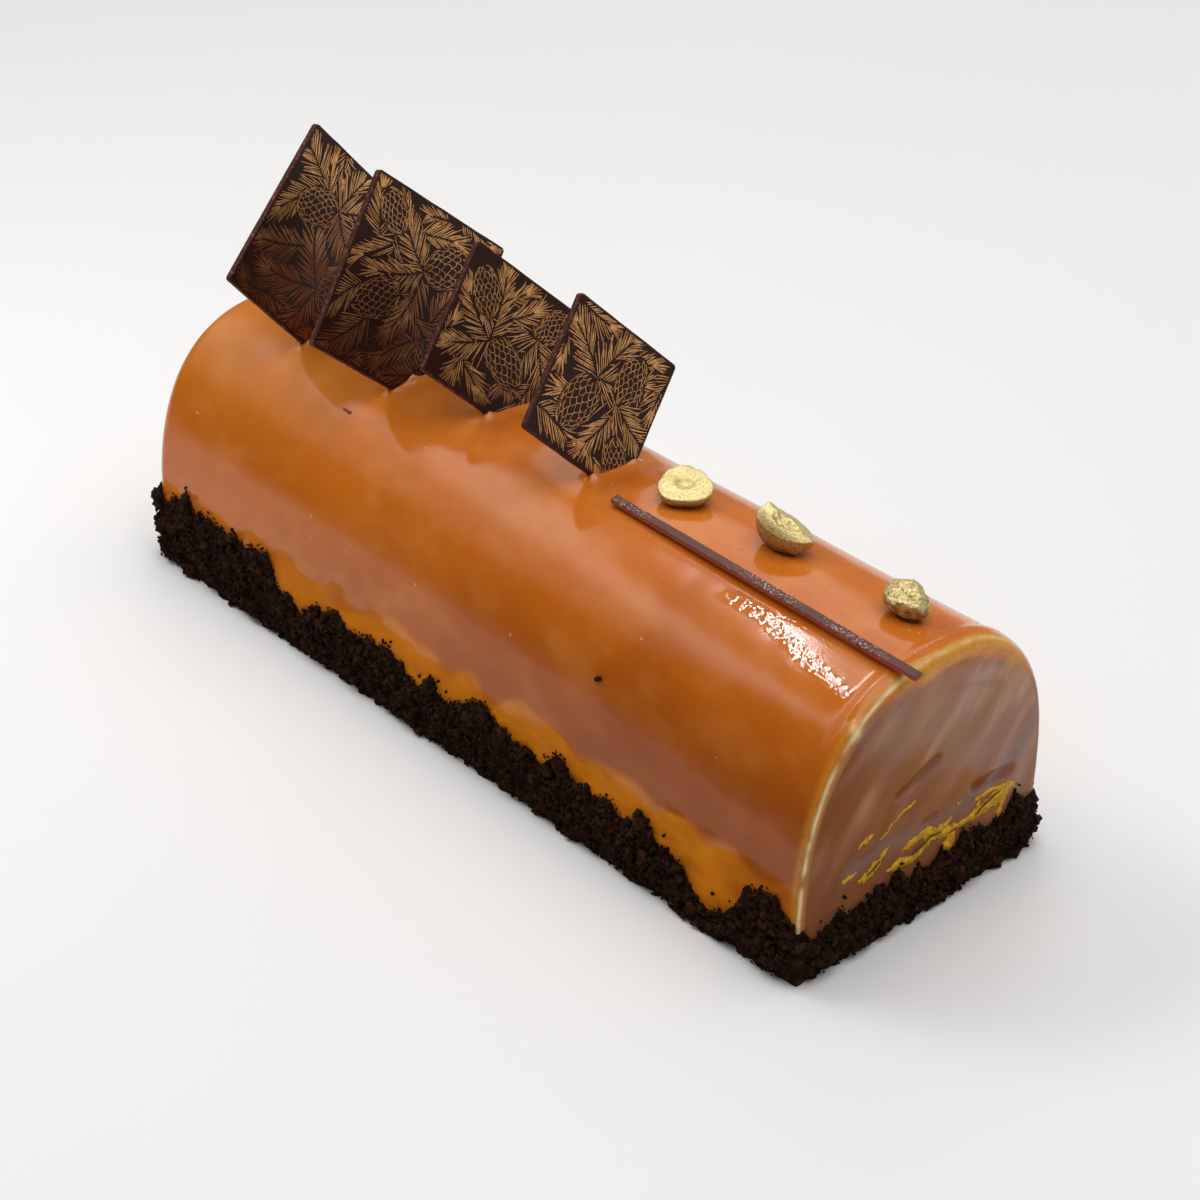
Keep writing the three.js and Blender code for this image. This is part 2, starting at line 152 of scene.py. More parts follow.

# Streaks of painted reflection of a gold board on the near face, as (y, z, half width), and dark creases.
GOLD_REFLECTION_STREAKS = (
    ((-15.0, 27.3, 0.15), (-12.8, 27.9, 0.32), (-12.2, 29.0, 0.15), (-9.0, 31.2, 0.24), (-4.2, 32.4, 0.18)),
    ((-23.0, 28.5, 0.12), (-21.2, 29.2, 0.50), (-19.6, 29.7, 0.48), (-18.2, 29.9, 0.12)),
    ((-12.4, 24.0, 0.2), (-13.6, 22.7, 0.42), (-15.6, 21.2, 0.7), (-18.4, 19.2, 1.1), (-21.5, 18.6, 0.6)),
    ((-22.6, 22.3, 0.15), (-24.7, 21.5, 0.65), (-27.0, 21.0, 0.4)),
    ((-12.6, 17.0, 0.25), (-9.0, 17.4, 0.95), (-5.0, 16.0, 0.75), (-1.5, 16.5, 1.0), (1.8, 18.6, 0.62),
     (4.5, 18.6, 0.62), (9.4, 17.7, 1.0), (14.0, 18.0, 0.4), (18.7, 17.9, 1.2), (24.0, 19.1, 1.35),
     (28.4, 20.6, 1.2), (31.0, 21.4, 0.5)),
    ((-7.6, 20.5, 0.2), (-4.6, 20.9, 0.8), (0.2, 21.5, 0.85), (5.9, 19.7, 0.8), (9.4, 21.2, 0.12)),
    ((9.8, 17.0, 1.0), (9.4, 14.4, 1.4), (8.0, 12.4, 1.1), (6.0, 11.4, 0.4)),
    ((16.3, 22.6, 0.18), (20.0, 22.6, 0.52), (24.6, 22.2, 0.35), (28.0, 21.2, 0.4)),
    ((18.6, 22.0, 0.28), (18.4, 20.2, 0.4), (17.9, 18.4, 0.3)),
    ((27.2, 19.0, 0.7), (26.9, 16.4, 0.85), (26.0, 13.6, 0.5)),
    ((11.1, 24.1, 0.15), (12.4, 24.3, 0.15)),
)
REFLECTION_CREASES = (
    ((-3.4, 17.1, 0.12), (-0.2, 18.4, 0.24), (2.1, 19.6, 0.2), (5.9, 18.8, 0.1)),
    ((8.9, 17.0, 0.1), (11.4, 17.6, 0.16)),
    ((17.6, 17.9, 0.1), (19.6, 18.8, 0.28), (23.1, 20.2, 0.24), (25.6, 21.1, 0.1)),
    ((-18.9, 19.3, 0.1), (-16.7, 20.3, 0.2), (-15.0, 21.5, 0.1)),
)

# A lump of glaze that set on the near edge.
LUMP = (122.2, -26.3, 60.5)

# Lips of glaze that the squares pushed up, as places along and across the log, with height and radius.
LIPS = (
    (-87.0, -10.5, 0.7, 1.2), (-52.5, -5.0, 1.3, 1.7), (-23.8, -3.4, 0.9, 1.5), (16.2, -4.6, 0.9, 1.6),
    (15.4, 8.8, 0.6, 1.8),
)

# Where the setting skin wrinkled beside the stick, as lines of (x, y) with their half widths.
WRINKLES = (
    (((70.5, -16.2), (74.6, -15.6), (84.0, -15.8), (91.4, -17.4), (98.4, -19.0), (104.4, -20.1),
      (110.0, -21.2), (116.0, -22.6), (118.6, -24.6)), 1.9),
    (((86.0, -12.9), (94.6, -12.4), (102.5, -11.6)), 1.2),
)

# The larger bubbles in the glaze, as places along and across the log.
PIN_BUBBLES = (
    (-114.0, -22.4), (-104.1, -27.2), (-106.0, -35.1), (-95.3, -19.9), (-76.6, -15.0), (-52.5, -22.3),
    (-51.9, -38.7), (-37.6, -38.4), (-27.2, -20.8), (-52.9, -37.6), (-10.7, -37.8), (24.0, -37.2),
    (61.0, -30.5),
)
SHAVING_AT = (-56.7, -22.4)
FALLEN_CRUMB_AT = (54.0, -36.5)

STICK_MIDDLE = (77.0, -10.6)
STICK_TURN = -1.7
STICK_GAP = 0.25
STICK_GRIT = ((0.0, 13.0), (42.0, 60.0), (70.0, 86.0))  # the stretches that are dusted with grit

# Hazelnut halves: place, length, width and depth, and turns in degrees.
HAZELNUTS = (
    {"at": (38.1, 4.0), "size": (13.2, 12.6, 5.0), "turn": 20, "tilt": (13, 3), "corners": 0.07},
    {"at": (68.2, 6.8), "size": (15.0, 11.2, 7.0), "turn": 4, "tilt": (-24, 14), "corners": 0.05},
    {"at": (105.4, 5.8), "size": (11.6, 8.8, 5.4), "turn": -8, "tilt": (6, 8), "corners": 0.06},
)
NUT_LIP = 0.4
NUT_SUNK = 0.7

# Heights of the crumb border: share of the way round from the far front corner, and height.
BORDER_HEIGHTS = (
    (0.0, 20.0), (0.024, 22.5), (0.05, 19.0), (0.075, 20.5), (0.085, 12.5), (0.11, 16.5), (0.15, 16.0),
    (0.17, 12.8), (0.21, 16.2), (0.25, 14.8), (0.3, 15.6), (0.325, 7.0), (0.335, 7.0), (0.35, 18.0),
    (0.368, 17.5), (0.38, 9.5), (0.4, 13.0), (0.44, 12.5), (0.49, 14.0), (0.56, 16.0), (0.63, 18.0),
    (0.7, 14.0), (0.78, 17.5), (0.86, 15.0), (0.93, 18.0),
)

# How finely the log's skin is drawn: points of its section and foot, and rings of its body, edges and ends.
SECTION_POINTS = 206
FOOT_POINTS = 30
BODY_RINGS = 284
FAR_EDGE_RINGS = 8
NEAR_EDGE_RINGS = 20
FAR_END_RINGS = 12
NEAR_END_RINGS = 54
STRIP_POINTS = 70

# The camera: where it stands and looks, in millimetres, its roll in degrees and its lens.
CAMERA_AT = (399.2, -359.7, 357.0)
CAMERA_AIM = (42.3, -26.0, 55.3)
CAMERA_ROLL = 1.39
CAMERA_LENS = 75.21


def linear(colour):
    """A linear colour with alpha from an sRGB hex value such as "b9692c"."""
    shares = [int(colour[i : i + 2], 16) / 255 for i in (0, 2, 4)]
    return tuple(s / 12.92 if s <= 0.04045 else ((s + 0.055) / 1.055) ** 2.4 for s in shares) + (1.0,)


def per_metre(size):
    """The scale of a texture whose grain is that many millimetres across."""
    return 1000.0 / size


# ---------------------------------------------------------------- surfaces


def grid_faces(rows, columns, close_rows=False, close_columns=False):
    """Quads between neighbours of a grid numbered row by row; they face along row step x column step."""
    row, column = np.meshgrid(
        np.arange(rows if close_rows else rows - 1),
        np.arange(columns if close_columns else columns - 1),
        indexing="ij",
    )
    down, right = (row + 1) % rows, (column + 1) % columns
    corners = (row * columns + column, down * columns + column, down * columns + right, row * columns + right)
    return np.stack(corners, -1).reshape(-1, 4)


def closed_skin(rings):
    """Points and faces of closed rings joined in order, with a pole amid the first ring and amid the last."""
    rows, columns, _ = rings.shape
    points = np.vstack((rings.reshape(-1, 3), rings[0].mean(0), rings[-1].mean(0)))
    here = np.arange(columns)
    following = (here + 1) % columns
    first, last = rows * columns, rows * columns + 1
    base = (rows - 1) * columns
    start = np.stack((np.full(columns, first), here, following), -1)
    end = np.stack((np.full(columns, last), base + following, base + here), -1)
    return points, grid_faces(rows, columns, close_columns=True).tolist() + start.tolist() + end.tolist()


def waves(points, length, seed, count=18):
    """Smooth random relief of about unit size: a sum of sines of random heading, near one length in mm."""
    draw = np.random.default_rng(seed)
    heading = draw.normal(size=(count, 3))
    heading /= np.linalg.norm(heading, axis=1, keepdims=True)
    pace = 2 * np.pi / (length * draw.uniform(0.7, 1.4, (count, 1)))
    phase = draw.uniform(0, 2 * np.pi, count)
    return np.sin(points @ (heading * pace).T + phase).sum(-1) * math.sqrt(2 / count)


def bell(distance, width):
    """A bell curve of height 1: e to minus the square of distance over width."""
    return np.exp(-((distance / width) ** 2))


def line_distance(y, z, line):
    """Distance of each point (y, z) from a bent line: the least over its straights."""
    nearest = np.full(np.shape(y), np.inf)
    for (y0, z0), (y1, z1) in zip(line, line[1:]):
        length = (y1 - y0) ** 2 + (z1 - z0) ** 2
        share = np.clip(((y - y0) * (y1 - y0) + (z - z0) * (z1 - z0)) / length, 0, 1)
        nearest = np.minimum(nearest, np.hypot(y - y0 - share * (y1 - y0), z - z0 - share * (z1 - z0)))
    return nearest


def turned(points, about_x=0.0, about_y=0.0, about_z=0.0):
    """Points turned about X, then Y, then Z, by degrees."""
    for axis, degrees in ((0, about_x), (1, about_y), (2, about_z)):
        angle = math.radians(degrees)
        turn = np.eye(3)
        a, b = (axis + 1) % 3, (axis + 2) % 3
        turn[a, a] = turn[b, b] = math.cos(angle)
        turn[a, b], turn[b, a] = -math.sin(angle), math.sin(angle)
        points = points @ turn.T
    return points


def random_turns(count, draw):
    """Turning matrices spread evenly over all turns, from unit quaternions."""
    four = draw.normal(size=(count, 4))
    w, x, y, z = four.T / np.linalg.norm(four, axis=1)
    rows = (
        (1 - 2 * (y * y + z * z), 2 * (x * y - z * w), 2 * (x * z + y * w)),
        (2 * (x * y + z * w), 1 - 2 * (x * x + z * z), 2 * (y * z - x * w)),
        (2 * (x * z - y * w), 2 * (y * z + x * w), 1 - 2 * (x * x + y * y)),
    )
    return np.moveaxis(np.array(rows), -1, 0)


def add_piece(name, points, faces, material, replaced=(), smooth=True, layers=()):
    """Makes one mesh object from points in millimetres, which rides on the cake's only body."""
    mesh = bpy.data.meshes.new(name)
    mesh.from_pydata((points * MM).tolist(), [], faces if isinstance(faces, list) else faces.tolist())
    for layer, values in dict(layers).items():
        mesh.attributes.new(layer, "FLOAT", "POINT").data.foreach_set("value", values.astype(np.float32))
    if smooth:
        mesh.shade_smooth()
    mesh.materials.append(material)
    piece = bpy.data.objects.new(name, mesh)
    bpy.context.scene.collection.objects.link(piece)
    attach(piece, "root")
    if replaced:
        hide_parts(*replaced)


# ---------------------------------------------------------------- materials


def add_node(tree, kind, inputs=(), **settings):
    """Adds a node with its settings; an input is given a value or, where it is a socket, a link."""
    node = tree.nodes.new(kind)
    for name, value in settings.items():
        setattr(node, name, value)
    for key, value in dict(inputs).items():
        if isinstance(value, bpy.types.NodeSocket):
            tree.links.new(value, node.inputs[key])
        else:
            node.inputs[key].default_value = value
    return node


def new_material(name, finish=()):
    """An empty node material, its shader with a finish of even values, and its object coordinates."""
    material = bpy.data.materials.new(name)
    material.use_nodes = True
    tree = material.node_tree
    tree.nodes.clear()
    shader = add_node(tree, "ShaderNodeBsdfPrincipled", finish)
    add_node(tree, "ShaderNodeOutputMaterial", {"Surface": shader.outputs[0]})
    place = add_node(tree, "ShaderNodeTexCoord").outputs["Object"]
    return material, tree, shader, place


def face_runs(tree, place):
    """The pale runs on the near face, from 0.25 to 0.85: noise read by the angle about the fan's start, as an
    arc, and by the distance from it, which draws each run out."""
    start = tuple(value * MM for value in FAN_START)
    offset = add_node(tree, "ShaderNodeVectorMath", {0: place, 1: start}, operation="SUBTRACT")
    flat = add_node(tree, "ShaderNodeVectorMath", {0: offset.outputs[0], 1: (0, 1, 1)}, operation="MULTIPLY")
    parts = add_node(tree, "ShaderNodeSeparateXYZ", {0: flat.outputs[0]})
    angle = add_node(tree, "ShaderNodeMath", {0: parts.outputs[1], 1: parts.outputs[2]}, operation="ARCTAN2")
    distance = add_node(tree, "ShaderNodeVectorMath", {0: flat.outputs[0]}, operation="LENGTH")
    inputs = {0: angle.outputs[0], 1: FAN_RADIUS * MM}
    arc = add_node(tree, "ShaderNodeMath", inputs, operation="MULTIPLY")
    inputs = {0: distance.outputs["Value"], 1: FAN_DRAWN_OUT}
    along = add_node(tree, "ShaderNodeMath", inputs, operation="MULTIPLY")
    fan = add_node(tree, "ShaderNodeCombineXYZ", {0: arc.outputs[0], 1: along.outputs[0]})
    inputs = {"Vector": fan.outputs[0], "Scale": per_metre(FAN_GRAIN), "Detail": 3.0, "Distortion": 0.5}
    noise = add_node(tree, "ShaderNodeTexNoise", inputs)
    inputs = {0: noise.outputs[0], 1: 0.34, 2: 0.68, 3: 0.25, 4: 0.85}
    return add_node(tree, "ShaderNodeMapRange", inputs).outputs[0]


def caramel_glaze(settings):
    """Caramel mirror glaze, poured warm over frozen mousse: glucose, cream and white chocolate set with
    gelatine. It gives a wet, nearly unbroken gloss, colour that deepens where the coat is thick and goes
    to cream where it ran thin over an edge, and low ripples that bend what it mirrors. Some of its colour
    is painted light: shade low towards the near end, a reflection of a gold board above the foot, grey
    reflection and shade on the near face, and highlights on the squares' lips."""
    material, tree, shader, place = new_material("CaramelMirrorGlaze", {"IOR": 1.365})
    layer, pattern, share = {}, {"runs": face_runs(tree, place)}, {}
    for name in GLAZE_LAYERS:
        layer[name] = add_node(tree, "ShaderNodeAttribute", attribute_name=name).outputs["Fac"]
    for name, (size, detail, stretch, reach) in GLAZE_PATTERNS.items():
        drawn = add_node(tree, "ShaderNodeVectorMath", {0: place, 1: stretch}, operation="MULTIPLY")
        inputs = {"Vector": drawn.outputs[0], "Scale": per_metre(size), "Detail": detail}
        noise = add_node(tree, "ShaderNodeTexNoise", inputs)
        inputs = {0: noise.outputs[0], **dict(enumerate(reach, 1))}
        pattern[name] = add_node(tree, "ShaderNodeMapRange", inputs).outputs[0]
    clear = add_node(tree, "ShaderNodeMapRange", {0: layer["near_end_shade"], 3: 1.0, 4: 0.3}).outputs[0]
    # thick: random clouds, plus painted shade low towards the near end.
    for name, operation, one, other in (
        ("thick", "ADD", pattern["cloud"], layer["near_end_shade"]),
        ("veil", "MULTIPLY", pattern["veil"], clear),
        ("foot", "MULTIPLY", layer["foot"], pattern["foot"]),
        ("pale", "MULTIPLY", layer["swirl"], pattern["runs"]),
        ("rim", "MULTIPLY", layer["ochre"], pattern["rim"]),
    ):
        result = add_node(tree, "ShaderNodeMath", {0: one, 1: other}, operation=operation, use_clamp=True)
        share[name] = result.outputs[0]

    milky = settings.end_colour
    for amount, tint in (
        (layer["deep"], settings.end_low_colour),
        # Painted grey reflection and shade on the near face.
        (layer["grey_reflection_and_shade"], settings.end_grey_reflection_colour),
        (share["pale"], settings.end_pale_colour),
    ):
        milky = add_node(tree, "ShaderNodeMix", {0: amount, 6: milky, 7: tint}, data_type="RGBA").outputs[2]
    colour = settings.glaze_colour
    for amount, tint in (
        (share["thick"], settings.thick_and_shade_colour),
        (layer["thin"], settings.thin_colour),
        (share["veil"], settings.veil_colour),
        # A painted reflection of a gold board, in a band above the foot.
        (share["foot"], settings.board_reflection_colour),
        (layer["face"], milky),
        (layer["brown"], settings.dent_colour),
        (share["rim"], settings.rim_colour),
        # cream: on the lips a painted highlight.
        (layer["cream"], settings.cream_colour),
    ):
        colour = add_node(tree, "ShaderNodeMix", {0: amount, 6: colour, 7: tint}, data_type="RGBA").outputs[2]
    tree.links.new(colour, shader.inputs["Base Color"])

    # The setting skin's wrinkles are finer than the mesh, and are drawn about twice as coarse as they are.
    inputs = {"Strength": layer["wrinkle"], "Distance": 0.065 * MM, "Height": pattern["wrinkle"]}
    wrinkles = add_node(tree, "ShaderNodeBump", inputs).outputs[0]
    inputs = {"Strength": 0.12, "Distance": 0.1 * MM, "Height": pattern["ripple"], "Normal": wrinkles}
    tree.links.new(add_node(tree, "ShaderNodeBump", inputs).outputs[0], shader.inputs["Normal"])
    inputs = {0: layer["wrinkle"], 2: 0.5, 3: settings.gloss_roughness, 4: settings.wrinkle_roughness}
    gloss = add_node(tree, "ShaderNodeMapRange", inputs).outputs[0]
    inputs = {0: layer["face"], 3: gloss, 4: settings.end_roughness}
    tree.links.new(add_node(tree, "ShaderNodeMapRange", inputs).outputs[0], shader.inputs["Roughness"])
    return material


def painted_gold_reflection(settings, name, colour):
    """A painted reflection of a gold board in the wrinkled glaze of the near face: smooth, soft yellow with a
    wet sheen, with painted shade in its small folds."""
    material, tree, shader, place = new_material(name, {"Roughness": 0.5, "Specular IOR Level": 0.3})
    fold = add_node(tree, "ShaderNodeTexNoise", {"Vector": place, "Scale": per_metre(1.3), "Detail": 3.0})
    lit = add_node(tree, "ShaderNodeMapRange", {0: fold.outputs[0], 1: 0.36, 2: 0.58, 3: 0.5, 4: 1.0})
    inputs = {0: lit.outputs[0], 6: settings.fold_colour, 7: colour}
    tone = add_node(tree, "ShaderNodeMix", inputs, data_type="RGBA")
    tree.links.new(tone.outputs[2], shader.inputs["Base Color"])
    inputs = {"Strength": 0.4, "Distance": 0.3 * MM, "Height": fold.outputs[0]}
    tree.links.new(add_node(tree, "ShaderNodeBump", inputs).outputs[0], shader.inputs["Normal"])
    return material


def glaze_bubble(settings):
    """Air caught under the setting glaze: a thin, glossy skin, paler than the coat about it."""
    finish = {"Base Color": settings.bubble_colour, "Roughness": 0.12}
    return new_material("GlazeBubble", finish)[0]


def fallen_dust(settings):
    """Flakes of the hazelnuts' gold dust, fallen on wet glaze: dull pale sparks."""
    finish = {"Base Color": settings.dust_colour, "Metallic": 0.3, "Roughness": 0.35}
    return new_material("FallenGoldDust", finish)[0]


def dark_chocolate(settings):
    """Tempered dark chocolate, cast thin on a printed plastic sheet: a satin, almost black face, and cut
    edges that are duller and redder, with paler scuffs along their arrises."""
    material, tree, shader, place = new_material("TemperedDarkChocolate", {"Specular IOR Level": 0.2})
    edge = add_node(tree, "ShaderNodeAttribute", attribute_name="edge").outputs["Fac"]
    cloud = add_node(tree, "ShaderNodeTexNoise", {"Vector": place, "Scale": per_metre(9), "Detail": 3.0})
    inputs = {0: cloud.outputs[0], 6: settings.chocolate_colour, 7: settings.bloom_colour}
    face = add_node(tree, "ShaderNodeMix", inputs, data_type="RGBA")
    scuff = add_node(tree, "ShaderNodeTexNoise", {"Vector": place, "Scale": per_metre(0.9), "Detail": 4.0})
    wear_and_shade = add_node(tree, "ShaderNodeMapRange", {0: scuff.outputs[0], 1: 0.56, 2: 0.68})
    inputs = {0: wear_and_shade.outputs[0], 6: settings.edge_colour, 7: settings.scuff_colour}
    rim = add_node(tree, "ShaderNodeMix", inputs, data_type="RGBA")
    inputs = {0: edge, 6: face.outputs[2], 7: rim.outputs[2]}
    colour = add_node(tree, "ShaderNodeMix", inputs, data_type="RGBA")
    tree.links.new(colour.outputs[2], shader.inputs["Base Color"])
    dull = add_node(tree, "ShaderNodeMapRange", {0: edge, 3: 0.34, 4: 0.55})
    tree.links.new(dull.outputs[0], shader.inputs["Roughness"])
    inputs = {"Strength": 0.3, "Distance": 0.1 * MM, "Height": scuff.outputs[0]}
    tree.links.new(add_node(tree, "ShaderNodeBump", inputs).outputs[0], shader.inputs["Normal"])
    return material


def gold_print(settings):
    """Cocoa butter with bronze-gold lustre pigment, printed on the chocolate: fine mica flakes in fat, which
    shine like a soft metal and are patchy where the print took unevenly. Low on each square it is darker and
    redder: painted shade and a painted reflection of the glaze below."""
    finish = {"Metallic": 0.85, "Roughness": 0.38}
    material, tree, shader, place = new_material("GoldLustrePrint", finish)
    patch = add_node(tree, "ShaderNodeTexNoise", {"Vector": place, "Scale": per_metre(1.6), "Detail": 3.0})
    uneven = add_node(tree, "ShaderNodeMapRange", {0: patch.outputs[0], 1: 0.32, 2: 0.6})
    inputs = {0: uneven.outputs[0], 6: settings.thin_print_colour, 7: settings.print_colour}
    lustre = add_node(tree, "ShaderNodeMix", inputs, data_type="RGBA")
    # Low on each square the print is darkened by painted shade and a painted reflection of the glaze.
    wear_and_shade = add_node(tree, "ShaderNodeAttribute", attribute_name="wear_and_shade")
    inputs = {0: wear_and_shade.outputs["Fac"], 6: lustre.outputs[2], 7: settings.shaded_print_colour}
    colour = add_node(tree, "ShaderNodeMix", inputs, data_type="RGBA")
    tree.links.new(colour.outputs[2], shader.inputs["Base Color"])
    return material


def stick_chocolate(settings, name="DustedChocolateStick"):
    """Dark chocolate piped flat and cut: satin brown, redder at its cut sides, with pale sugary grit in
    patches whose colour is partly painted glints. The grit is drawn at 0.45 mm, about twice its size, so
    that it shows."""
    finish = {"Roughness": 0.38, "Specular IOR Level": 0.28}
    material, tree, shader, place = new_material(name, finish)
    grit = add_node(tree, "ShaderNodeAttribute", attribute_name="grit")
    side = add_node(tree, "ShaderNodeAttribute", attribute_name="side")
    inputs = {0: side.outputs["Fac"], 6: settings.top_colour, 7: settings.side_colour}
    body = add_node(tree, "ShaderNodeMix", inputs, data_type="RGBA")
    grain = add_node(tree, "ShaderNodeTexNoise", {"Vector": place, "Scale": per_metre(0.45), "Detail": 2.0})
    # Pale specks of grit: partly the grit's own colour, partly painted glints.
    grit_glint = add_node(tree, "ShaderNodeMapRange", {0: grain.outputs[0], 1: 0.55, 2: 0.66})
    inputs = {0: grit_glint.outputs[0], 1: grit.outputs["Fac"]}
    lit = add_node(tree, "ShaderNodeMath", inputs, operation="MULTIPLY")
    inputs = {0: lit.outputs[0], 6: body.outputs[2], 7: settings.grit_and_glint_colour}
    colour = add_node(tree, "ShaderNodeMix", inputs, data_type="RGBA")
    tree.links.new(colour.outputs[2], shader.inputs["Base Color"])
    inputs = {"Strength": 0.5, "Distance": 0.2 * MM, "Height": grain.outputs[0]}
    tree.links.new(add_node(tree, "ShaderNodeBump", inputs).outputs[0], shader.inputs["Normal"])
    return material


def gilded_hazelnut(settings):
    """Roasted hazelnut brushed with edible gold dust: fine metal-coated mica that shines softly, pale where
    it lies thick and darker, olive and brown where the brush missed and where the crease layer paints shade:
    under the back, in hollows and round a dimple. The dust's flakes are under 0.1 mm, and their grain is
    drawn at 0.45 mm so that it shows."""
    material, tree, shader, place = new_material("GildedHazelnut", {"Metallic": 0.6, "Roughness": 0.36})
    grain = add_node(tree, "ShaderNodeTexNoise", {"Vector": place, "Scale": per_metre(0.45), "Detail": 3.0})
    # The crease layer carries painted shade as well as the creases.
    crease_and_shade = add_node(tree, "ShaderNodeAttribute", attribute_name="crease_and_shade")
    missed = add_node(tree, "ShaderNodeMapRange", {0: grain.outputs[0], 1: 0.5, 2: 0.32, 3: 0.0, 4: 0.45})
    inputs = {0: missed.outputs[0], 1: crease_and_shade.outputs["Fac"]}
    bare = add_node(tree, "ShaderNodeMath", inputs, operation="ADD", use_clamp=True)
    inputs = {0: bare.outputs[0], 6: settings.gold_colour, 7: settings.crease_shade_colour}
    colour = add_node(tree, "ShaderNodeMix", inputs, data_type="RGBA")
    tree.links.new(colour.outputs[2], shader.inputs["Base Color"])
    inputs = {"Strength": 1.0, "Distance": 0.24 * MM, "Height": grain.outputs[0]}
    tree.links.new(add_node(tree, "ShaderNodeBump", inputs).outputs[0], shader.inputs["Normal"])
    return material


def cocoa_crumb(settings, name="CocoaCakeCrumb"):
    """Dark cocoa sponge rubbed to crumbs: dry, porous and nearly black, with redder specks, partly where the
    crumb broke open and partly painted glints. It has almost no gloss."""
    finish = {"Roughness": 0.8, "Specular IOR Level": 0.12}
    material, tree, shader, place = new_material(name, finish)
    lump = add_node(tree, "ShaderNodeTexNoise", {"Vector": place, "Scale": per_metre(1.8), "Detail": 4.0})
    # Redder specks: partly broken crumb, partly painted glints.
    open_crumb_and_glint = add_node(tree, "ShaderNodeMapRange", {0: lump.outputs[0], 1: 0.5, 2: 0.72})
    inputs = {0: open_crumb_and_glint.outputs[0], 6: settings.crumb_colour, 7: settings.broken_and_glint_colour}
    colour = add_node(tree, "ShaderNodeMix", inputs, data_type="RGBA")
    tree.links.new(colour.outputs[2], shader.inputs["Base Color"])
    pores = add_node(tree, "ShaderNodeTexNoise", {"Vector": place, "Scale": per_metre(0.35), "Detail": 2.0})
    inputs = {"Strength": 0.7, "Distance": 0.2 * MM, "Height": pores.outputs[0]}
    tree.links.new(add_node(tree, "ShaderNodeBump", inputs).outputs[0], shader.inputs["Normal"])
    return material


# ---------------------------------------------------------------- glazed log


def arch_profile(count, half_width, height):
    """The section's outline from the front foot over the ridge to the back foot, evenly spaced: a straight
    wall, then |y / half width| ^ p + |(z - wall) / rise| ^ p = 1. Returns y, z and the outward normal."""
    angle = np.linspace(0, np.pi, 6001)
    power = 2 / FULLNESS
    y = -half_width * np.sign(np.cos(angle)) * np.abs(np.cos(angle)) ** power
    z = WALL + (height - WALL) * np.sin(angle) ** power
    y, z = np.concatenate(([-half_width], y, [half_width])), np.concatenate(([0], z, [0]))
    reach = np.concatenate(([0], np.cumsum(np.hypot(np.diff(y), np.diff(z)))))
    even = np.linspace(0, reach[-1], count)
    fine_y, fine_z = np.interp(even, reach, y), np.interp(even, reach, z)
    along_y, along_z = np.gradient(fine_y), np.gradient(fine_z)
    size = np.hypot(along_y, along_z)
    return fine_y, fine_z, -along_z / size, along_y / size


def glaze_height(y):
    """Height of the log at a distance across from the ridge, and its normal there."""
    across = np.minimum(np.abs(y) / (WIDTH / 2), 0.9999)
    rise = HEIGHT - WALL
    z = WALL + rise * (1 - across**FULLNESS) ** (1 / FULLNESS)
    slope_y = np.sign(y) * across ** (FULLNESS - 1) / (WIDTH / 2)
    slope_z = ((z - WALL) / rise) ** (FULLNESS - 1) / rise
    size = np.hypot(slope_y, slope_z)
    return z, slope_y / size, slope_z / size


def square_frame(square):
    """The square's middle, its two in-plane directions and its facing, after lean, yaw and spin."""
    lean, yaw, spin = (math.radians(square[key]) for key in ("lean", "yaw", "spin"))
    facing = np.array((math.cos(lean) * math.cos(yaw), math.cos(lean) * math.sin(yaw), math.sin(lean)))
    across = np.cross((0.0, 0.0, 1.0), facing)
    across /= np.linalg.norm(across)
    rising = np.cross(facing, across)
    right = math.cos(spin) * across + math.sin(spin) * rising
    top = math.cos(spin) * rising - math.sin(spin) * across
    return np.array(square["at"]), right, top, facing


def entry_x(square):
    """Where along the log a square's printed face goes into the ridge."""
    return square["at"][0] + (square["at"][2] - HEIGHT) * math.tan(math.radians(square["lean"]))


def relief_round_squares(points, thickness):
    """The glaze sinks 1.3 mm in a wide bell about each square's foot, swells 0.7 mm beside it and climbs
    0.9 mm up the plate in a short meniscus that dies away within about a millimetre. Lips are added where
    the squares pushed it up."""
    relief = np.zeros(points.shape[:-1])
    for square in SQUARES:
        along = points[..., 0] - entry_x(square)
        across = (points[..., 1] - square["at"][1]) / 1.6
        relief += 0.7 * bell(np.hypot(along - 9, across), 6) - 1.3 * bell(np.hypot(along, across), 9)
        middle, right, top, facing = square_frame(square)
        offset = points - middle
        ahead = offset @ facing
        off_face = np.maximum(np.maximum(ahead, -thickness - ahead), 0)
        aside = np.maximum(np.abs(offset @ right), np.abs(offset @ top)) - square["side"] / 2
        off_side = np.maximum(aside, 0)
        relief += 0.9 * np.exp(-np.hypot(off_face, off_side) / 1.1)
    for x, y, height, radius in LIPS:
        relief += height * bell(np.hypot(points[..., 0] - x, points[..., 1] - y), radius)
    return relief


